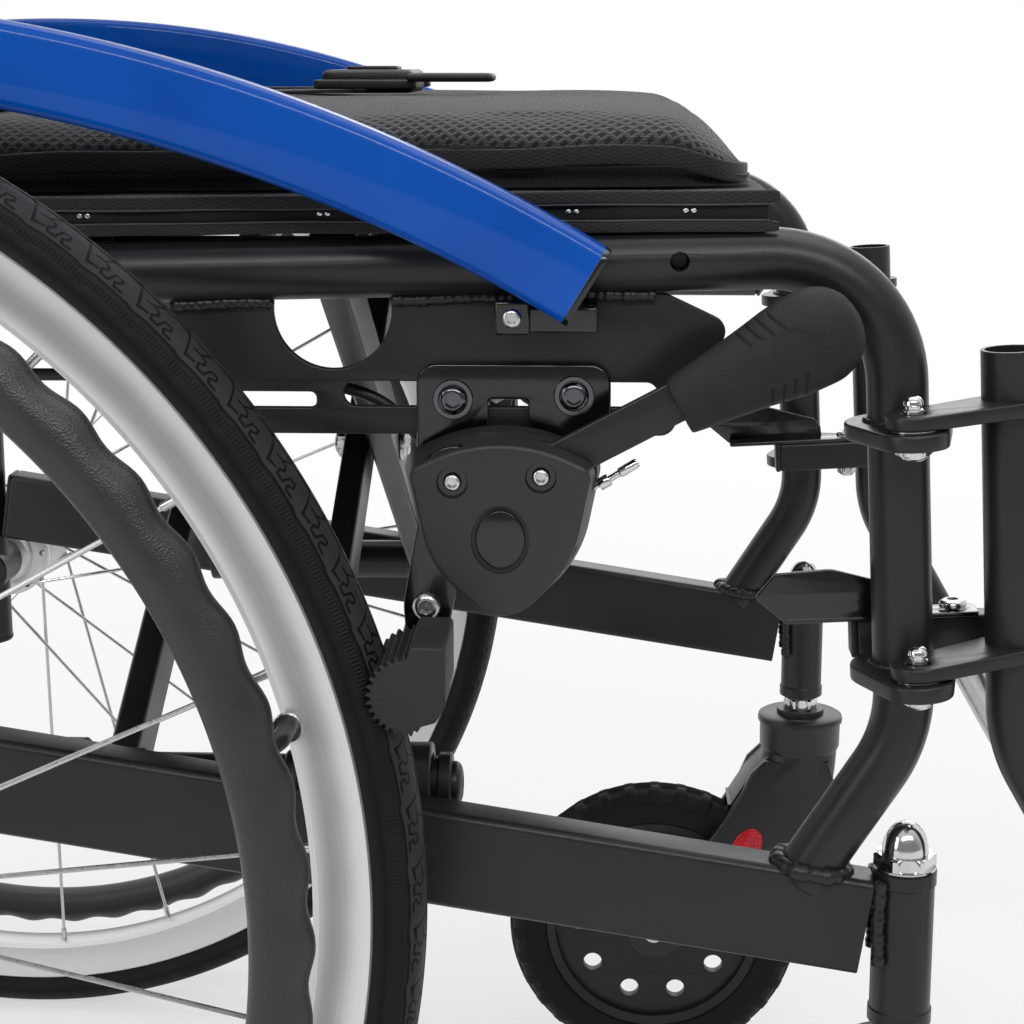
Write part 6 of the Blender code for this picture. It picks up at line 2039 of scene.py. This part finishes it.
def ringTape(plan, inset, low, high, out):
    # a flat woven tape round the cushion: its section is
    # carried round the plan with a slow wander up and down
    n = len(plan)
    run = np.arange(n) / n * 2 * math.pi
    base = insetOutline(plan, inset)
    wander = 0.0006 * np.sin(9 * run + 1) + 0.0004 * np.sin(23 * run)
    middle = (low + high) / 2
    front = nearFront(base[:, 0])
    lift = middle + wander - seatFall(base[:, 0]) - 0.85 * seatLook["droop"] * front
    path = np.stack([base[:, 0] - 0.75 * seatLook["frontLean"] * front, base[:, 1], lift], 1)
    half = (high - low) / 2
    section = roundBox((-out, out), (-half, half), min(out, half) * 0.8, 4)
    return sweepShell(path, section, across=(0, 0, 1), closed=True)


def seatCushion():
    # the padded cushion with its mesh top and twill wall, and the tape round it
    plan = cushionPlan()
    cushion = makePiece(
        "seatPad", [cushionShell()], [spacerMesh, wallTwill], "seat", ["seat_cushion"], sharp=70
    )
    low, high = seatLook["tapeZ"]
    tape = makePiece(
        "cushionTape", [ringTape(plan, 0.9 * mm, low, high, 1.1 * mm)], tapeRib, "seat", sharp=70
    )
    for piece in (cushion, tape):
        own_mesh(piece)


slingLook = {
    "x": (0.033, 0.4275),
    "half": 0.23,        # half the stretched width
    "z": 0.5551,
    "sag": 1.6 * mm,
    "hem": [             # y and z round the turned-under hem
        (0.183, 0.5462), (0.215, 0.5456), (0.227, 0.5458), (0.2288, 0.547), (0.229, 0.55),
        (0.2286, 0.5532), (0.227, 0.5543),
    ],
    "tapes": (   # z, half height, half thickness and seed of each
        (0.5548, 2.4 * mm, 1.25 * mm, 0.0), (0.5445, 2.0 * mm, 1.1 * mm, 2.0),
    ),
    "rivets": (0.264, 0.3553, 0.3981, 0.175, 0.08),
}


def slingSheet():
    # the stretched sling: a thin sheet between the rails that
    # sags a little in the middle, and its turned-under hems
    look = slingLook
    x = np.linspace(*look["x"], 90)[:, None]
    y = np.linspace(-look["half"], look["half"], 120)[None]
    fall = look["sag"] * (1 - (y / look["half"]) ** 2) ** 2
    ripple = 0.0005 * np.sin(x * 90 + 3) * np.abs(y / look["half"]) ** 6
    z = look["z"] - fall + ripple - seatFall(x)
    grid = np.stack(np.broadcast_arrays(x, y, z), 2)
    sling = makePiece(
        "seatSling", [gridShell(grid)], canvas, "seat", ["seat_sling"], thickness=1.5 * mm
    )
    hems, tapes, pipings, rivets = [], [], [], []
    for side in (-1, 1):
        x = np.linspace(0.034, 0.4265, 130)
        fold = smoothThrough(look["hem"], 4)
        wave = 0.0005 * np.sin(x * 120)[:, None]
        grid = np.stack([
            np.broadcast_to(x[:, None], (len(x), len(fold))), side * (fold[None, :, 0] + wave),
            fold[None, :, 1] - seatFall(x)[:, None] + wave,
        ], 2)
        hems.append(gridShell(grid))
        for height, half, out, seed in look["tapes"]:
            run = np.linspace(0.0325, 0.4305, 220)
            lift = 0.0003 * np.sin(run * 22 + seed) + 0.00012 * np.sin(run * 90 + 2 * seed)
            sway = 0.0002 * np.sin(run * 40 + 1 + seed)
            path = np.stack([run, side * (0.2303 + sway), height + lift - seatFall(run)], 1)
            edge = path + np.array((0, side * 0.6 * mm, (-half - 0.3 * mm) * (1 if seed == 0 else -1)))
            pipings.append(tubeShell(edge[2:-2], 0.45 * mm, 10, ("round", "round")))
            section = roundBox((-half, half), (-out, out), out * 0.85, 5)
            ends = np.ones(len(run))
            ends[[0, -1]] = 0.72
            tapes.append(sweepShell(path, section, ends))
        for place in look["rivets"]:
            for offset in (-0.00145, 0.00145):
                centre = (place + offset, side * 0.229, 0.55 - seatFall(place))
                head = np.array([
                    (0, 0), (1.25, 0), (1.25, 0.6), (0.95, 1.1), (0.45, 1.3), (0, 1.3)
                ]) * mm
                rivets.append(lathe(head, centre, (0, side, 0), 20))
    hem = makePiece("slingHems", hems, canvas, "seat", thickness=1.3 * mm)
    tape = makePiece("slingTapes", tapes, tapeRib, "seat", sharp=70)
    piping = makePiece("slingPiping", pipings, cord, "seat", sharp=70)
    rivet = makePiece("slingRivets", rivets, zinc, "seat")
    for piece in (sling, hem, tape, piping, rivet):
        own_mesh(piece)


backLook = {"halfWidth": 0.211, "low": 0.6, "high": 0.88, "half": 6.8 * mm, "sag": 0.016, "channels": 5}


def backrest():
    # quilted panel: each level is a closed ring, front then
    # back, whose thickness swells between sewn channels
    look = backLook
    levels = np.linspace(0, 1, 150)
    v = np.linspace(-1, 1, 90)
    z = look["low"] + (look["high"] - look["low"]) * levels
    endTaper = (1 - np.abs(2 * levels - 1) ** 14) ** 0.5
    quilt = 0.55 + 0.45 * np.abs(np.sin(math.pi * look["channels"] * levels)) ** 0.5
    sideTaper = (1 - np.abs(v) ** 10) ** 0.5
    thick = 0.8 * mm + (look["half"] - 0.8 * mm) * (endTaper * quilt)[:, None] * sideTaper[None]
    middleX = postX(z)[:, None] - look["sag"] * (1 - v**2)[None] + 0 * thick
    width = look["halfWidth"] * v[None] + 0 * thick
    height = z[:, None] + 0 * thick
    front = np.stack([middleX + thick, width, height], 2)
    back = np.stack([middleX - thick, width, height], 2)[:, ::-1]
    shell = gridShell(np.concatenate([front, back], 1), closeColumns=True, caps=True)
    panel = makePiece("backPanel", [shell], backMesh, "right_frame", ["backrest"], sharp=70)
    edges = []
    for level in (look["low"] + 0.004, look["high"] - 0.004):
        y = np.linspace(-look["halfWidth"], look["halfWidth"], 120)
        x = postX(level) - look["sag"] * (1 - (y / look["halfWidth"]) ** 2)
        section = roundBox((-5 * mm, 5 * mm), (-2.6 * mm, 2.6 * mm), 2.2 * mm, 5)
        edges.append(sweepShell(np.stack([x, y, level + 0 * y], 1), section[:, ::-1], across=(0, 0, 1)))
    binding = makePiece("backBinding", edges, tapeRib, "right_frame", sharp=70)
    for piece in (panel, binding):
        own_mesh(piece)


def backSleeve(side):
    # the fabric sleeve that carries the panel: a tube of cloth round the post, hemmed at both ends
    z = np.linspace(0.5985, 0.8815, 90)
    x = postX(z)
    wrinkle = 0.0004 * np.sin(z * 210) + 0.0003 * np.sin(z * 330 + 1)
    hem = 0.0006 * (np.exp(-((z - 0.603) / 0.004) ** 2) + np.exp(-((z - 0.877) / 0.004) ** 2))
    radius = layout["tubeR"] + 0.0016 + wrinkle + hem
    path = np.stack([x, np.full(len(z), layout["track"]), z], 1)
    sleeve = pipeShell(path, radius, layout["tubeR"] + 0.0003)
    sidePiece("backSleeve", [sleeve], canvas, "frame", side, sharp=70)


def lapBelt():
    # flat webbing up both sides of the cushion and over its
    # top: a thin section carried along a smooth path
    half = [(0.07, 0.2175, 0.56), (0.07, 0.2172, 0.57), (0.0715, 0.216, 0.5785)]
    plan = [(0.082, 0.206), (0.105, 0.182), (0.15, 0.13), (0.205, 0.075), (0.25, 0.028)]
    half += [(x, y, float(cushionTopZ(x, y)) + 0.0026 - seatFall(x)) for x, y in plan]
    straps = []
    for side in (-1, 1):
        path = smoothThrough(np.array(half) * (1, side, 1), 10)
        tangent = unit(np.gradient(path, axis=0))
        share = np.clip((0.2165 - np.abs(path[:, 1])) / 0.012, 0, 1)[:, None]
        normal = unit((1 - share) * np.array((0, side, 0)) + share * np.array((0, 0, 1)))
        across = unit(np.cross(normal, tangent))
        section = roundBox((-0.7 * mm, 0.7 * mm), (-12.5 * mm, 12.5 * mm), 0.5 * mm, 3)
        straps.append(sweepShell(path, section, across=across))
    belt = makePiece("lapBeltWebbing", straps, strap, "seat", ["lap_belt"], sharp=60)
    top = float(cushionTopZ(0.259, 0)) - seatFall(0.259)
    outline = turned(roundBox((0.238, 0.28), (-0.033, 0.033), 0.006, 8))
    shells = [lyingPlate([outline], top + 0.0012, top + 0.0115, edge=3.0 * mm, steps=6)]
    button = turned(roundBox((0.247, 0.271), (-0.012, 0.012), 0.004, 8))
    shells.append(lyingPlate([button], top + 0.0105, top + 0.0132, edge=1.0 * mm))
    for side in (-1, 1):
        loop = roundBox((0.236, 0.282), (side * 0.03, side * 0.044), 0.003, 5)
        hole = roundBox((0.24, 0.278), (side * 0.035, side * 0.0405), 0.0015, 4)
        shells.append(lyingPlate([loop, hole], top + 0.0032, top + 0.0072, edge=0.9 * mm))
    loopPath = bend(
        [(0.278, -0.046, 0), (0.315, -0.046, 0), (0.315, -0.015, 0), (0.278, -0.015, 0)],
        [0.006, 0.006], 8
    )
    shells.append(tubeShell(
        loopPath + (0, 0, top + 0.0082), 1.9 * mm, 20, ("round", "round"), across=(0, 0, 1)
    ))
    tongue = roundBox((0.2795, 0.294), (-0.039, -0.022), 2.0 * mm, 5)
    tongueShell = lyingPlate([turned(tongue)], top + 0.007, top + 0.0088, edge=0.4 * mm)
    tonguePiece = makePiece("beltTongue", [tongueShell], chrome, "seat")
    buckle = makePiece("beltBuckle", shells, nylon, "seat", sharp=40)
    for piece in (belt, tonguePiece, buckle):
        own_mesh(piece)


for side in (-1, 1):
    for build in (
        frameTube, hingePins, lowerRail, frameWelds, guardPlate, backCane, wheelArch, rubberTyre,
        wheelRim, wheelSpokes, handrimTube, quickAxle, casterFork, casterWheel, brakeBracket,
        brakeHousing, brakeLever, brakeShoe, cableEnd, legHanger, hangerLock, footrest, footplate,
        armrest, pushHandle, brakeCable, backSleeve,
    ):
        build(side)
    print("side made:", "left" if side > 0 else "right")
crossBraces()
slingSheet()
seatCushion()
backrest()
lapBelt()
print("seat made")


# Studio: pale floor, white surroundings, soft lamps and the photograph's camera

studio = {
    "lens": 76.1,
    "pitch": math.radians(11.84),
    "yaw": math.radians(2.5),
    "eye": (0.368, -1.026, 0.604),   # from the axle
    "floor": "#e9e9e8",
    "floorWhite": 0.55,         # how white the floor looks under the chair
    "floorFade": (0.5, 2.2),    # the distances between which it turns fully white
    "surround": 0.45,
    "cameraSide": 0.28,         # how bright a reflection of the lens's side is; 1 is white
}


def seenByCamera(tree):
    # 1 for camera, glossy and transmission rays, which see plain white; 0 for every other ray
    rays = addNode(tree, "ShaderNodeLightPath").outputs
    first = maths(tree, "MAXIMUM", rays["Is Camera Ray"], rays["Is Glossy Ray"])
    return maths(tree, "MAXIMUM", first, rays["Is Transmission Ray"])


def makeFloor():
    # for rays that see plain white the floor turns white with distance, so
    # that it meets the world without a line: share = seen by the ray x a
    # ramp of the distance from the chair; near the chair it keeps the shadow
    shell = gridShell(np.stack(np.broadcast_arrays(
        np.linspace(-9, 9, 4)[:, None], np.linspace(-9, 9, 4)[None], np.full((4, 4), -0.0006)), 2))
    mesh = bpy.data.meshes.new("floor")
    mesh.from_pydata(shell["points"].tolist(), [], shell["quads"][:, ::-1].tolist())
    floor = addObject("floor", mesh)
    material, tree, shader = newFinish("paintedStudioFloor", studio["floor"], 0.85)
    place, _ = addMottle(tree, shader, 3.0, 0.02, (0.8, 0.9), ("#e6e6e5", "#ececeb"), 400)
    ramp = rescale(
        tree, vectors(tree, "LENGTH", place, output="Value"), *studio["floorFade"], studio["floorWhite"]
    )
    share = maths(tree, "MULTIPLY", ramp, seenByCamera(tree))
    white = addNode(tree, "ShaderNodeEmission", {"Color": (1, 1, 1, 1), "Strength": 1.0}).outputs[0]
    mix = addNode(tree, "ShaderNodeMixShader", {0: share, 1: shader.outputs[0], 2: white})
    tree.links.new(mix.outputs[0], tree.nodes["Material Output"].inputs["Surface"])
    mesh.materials.append(material)


def makeWorld():
    # white surroundings for the camera, and softer light for everything else
    world = bpy.data.worlds.new("studio")
    world.use_nodes = True
    tree = world.node_tree
    tree.nodes.clear()
    # the camera sees 1; a reflection sees a room, white
    # above and behind the chair and dim on the lens's side
    toward = vectors(tree, "DOT_PRODUCT", objectPlace(tree), (0, 0.8, 0.6), output="Value")
    room = rescale(tree, toward, -0.35, 0.45, studio["cameraSide"])
    seen = maths(tree, "MAXIMUM", room, addNode(tree, "ShaderNodeLightPath").outputs["Is Camera Ray"])
    level = addNode(
        tree, "ShaderNodeMix", {0: seenByCamera(tree), 2: studio["surround"], 3: seen}
    ).outputs[0]
    shine = addNode(tree, "ShaderNodeBackground", {"Color": (1, 1, 1, 1), "Strength": level})
    addNode(tree, "ShaderNodeOutputWorld", {"Surface": shine.outputs[0]})
    bpy.context.scene.world = world


def makeLamp(name, place, target, size, power):
    # a soft rectangular lamp at a place, turned to its target
    lamp = bpy.data.lights.new(name, "AREA")
    lamp.shape = "RECTANGLE"
    lamp.size, lamp.size_y = size
    lamp.energy = power
    obj = addObject(name, lamp)
    obj.location = place
    obj.rotation_euler = (Vector(target) - Vector(place)).to_track_quat("-Z", "Y").to_euler()


def makeCamera():
    # looking along forward, with right level and up square to both
    pitch, yaw = studio["pitch"], studio["yaw"]
    forward = Vector((
        -math.sin(yaw) * math.cos(pitch), math.cos(yaw) * math.cos(pitch), -math.sin(pitch)
    ))
    right = Vector((math.cos(yaw), math.sin(yaw), 0))
    up = right.cross(forward)
    data = bpy.data.cameras.new("camera")
    data.sensor_width = 36
    data.lens = studio["lens"]
    data.clip_start = 0.01
    camera = addObject("camera", data)
    place = Matrix.Translation(Vector(studio["eye"]) + Vector((axleX, 0, 0)))
    camera.matrix_world = place @ Matrix((right, up, -forward)).transposed().to_4x4()
    bpy.context.scene.camera = camera


makeFloor()
makeWorld()
makeLamp("topSoftbox", (0.1, 0.2, 2.3), (0.05, 0, 0.4), (2.6, 1.4), 22)
makeLamp("frontStrip", (0.3, -1.9, 1.8), (0.1, 0, 0.45), (2.4, 0.28), 24)
makeLamp("sideSoftbox", (-1.9, -1.3, 1.1), (0.0, 0, 0.45), (1.0, 1.4), 14)
makeLamp("backSoftbox", (0.6, 2.2, 1.4), (0.1, 0, 0.45), (1.8, 1.2), 12)
makeCamera()
bpy.context.scene.view_settings.view_transform = "Standard"
print("studio made")
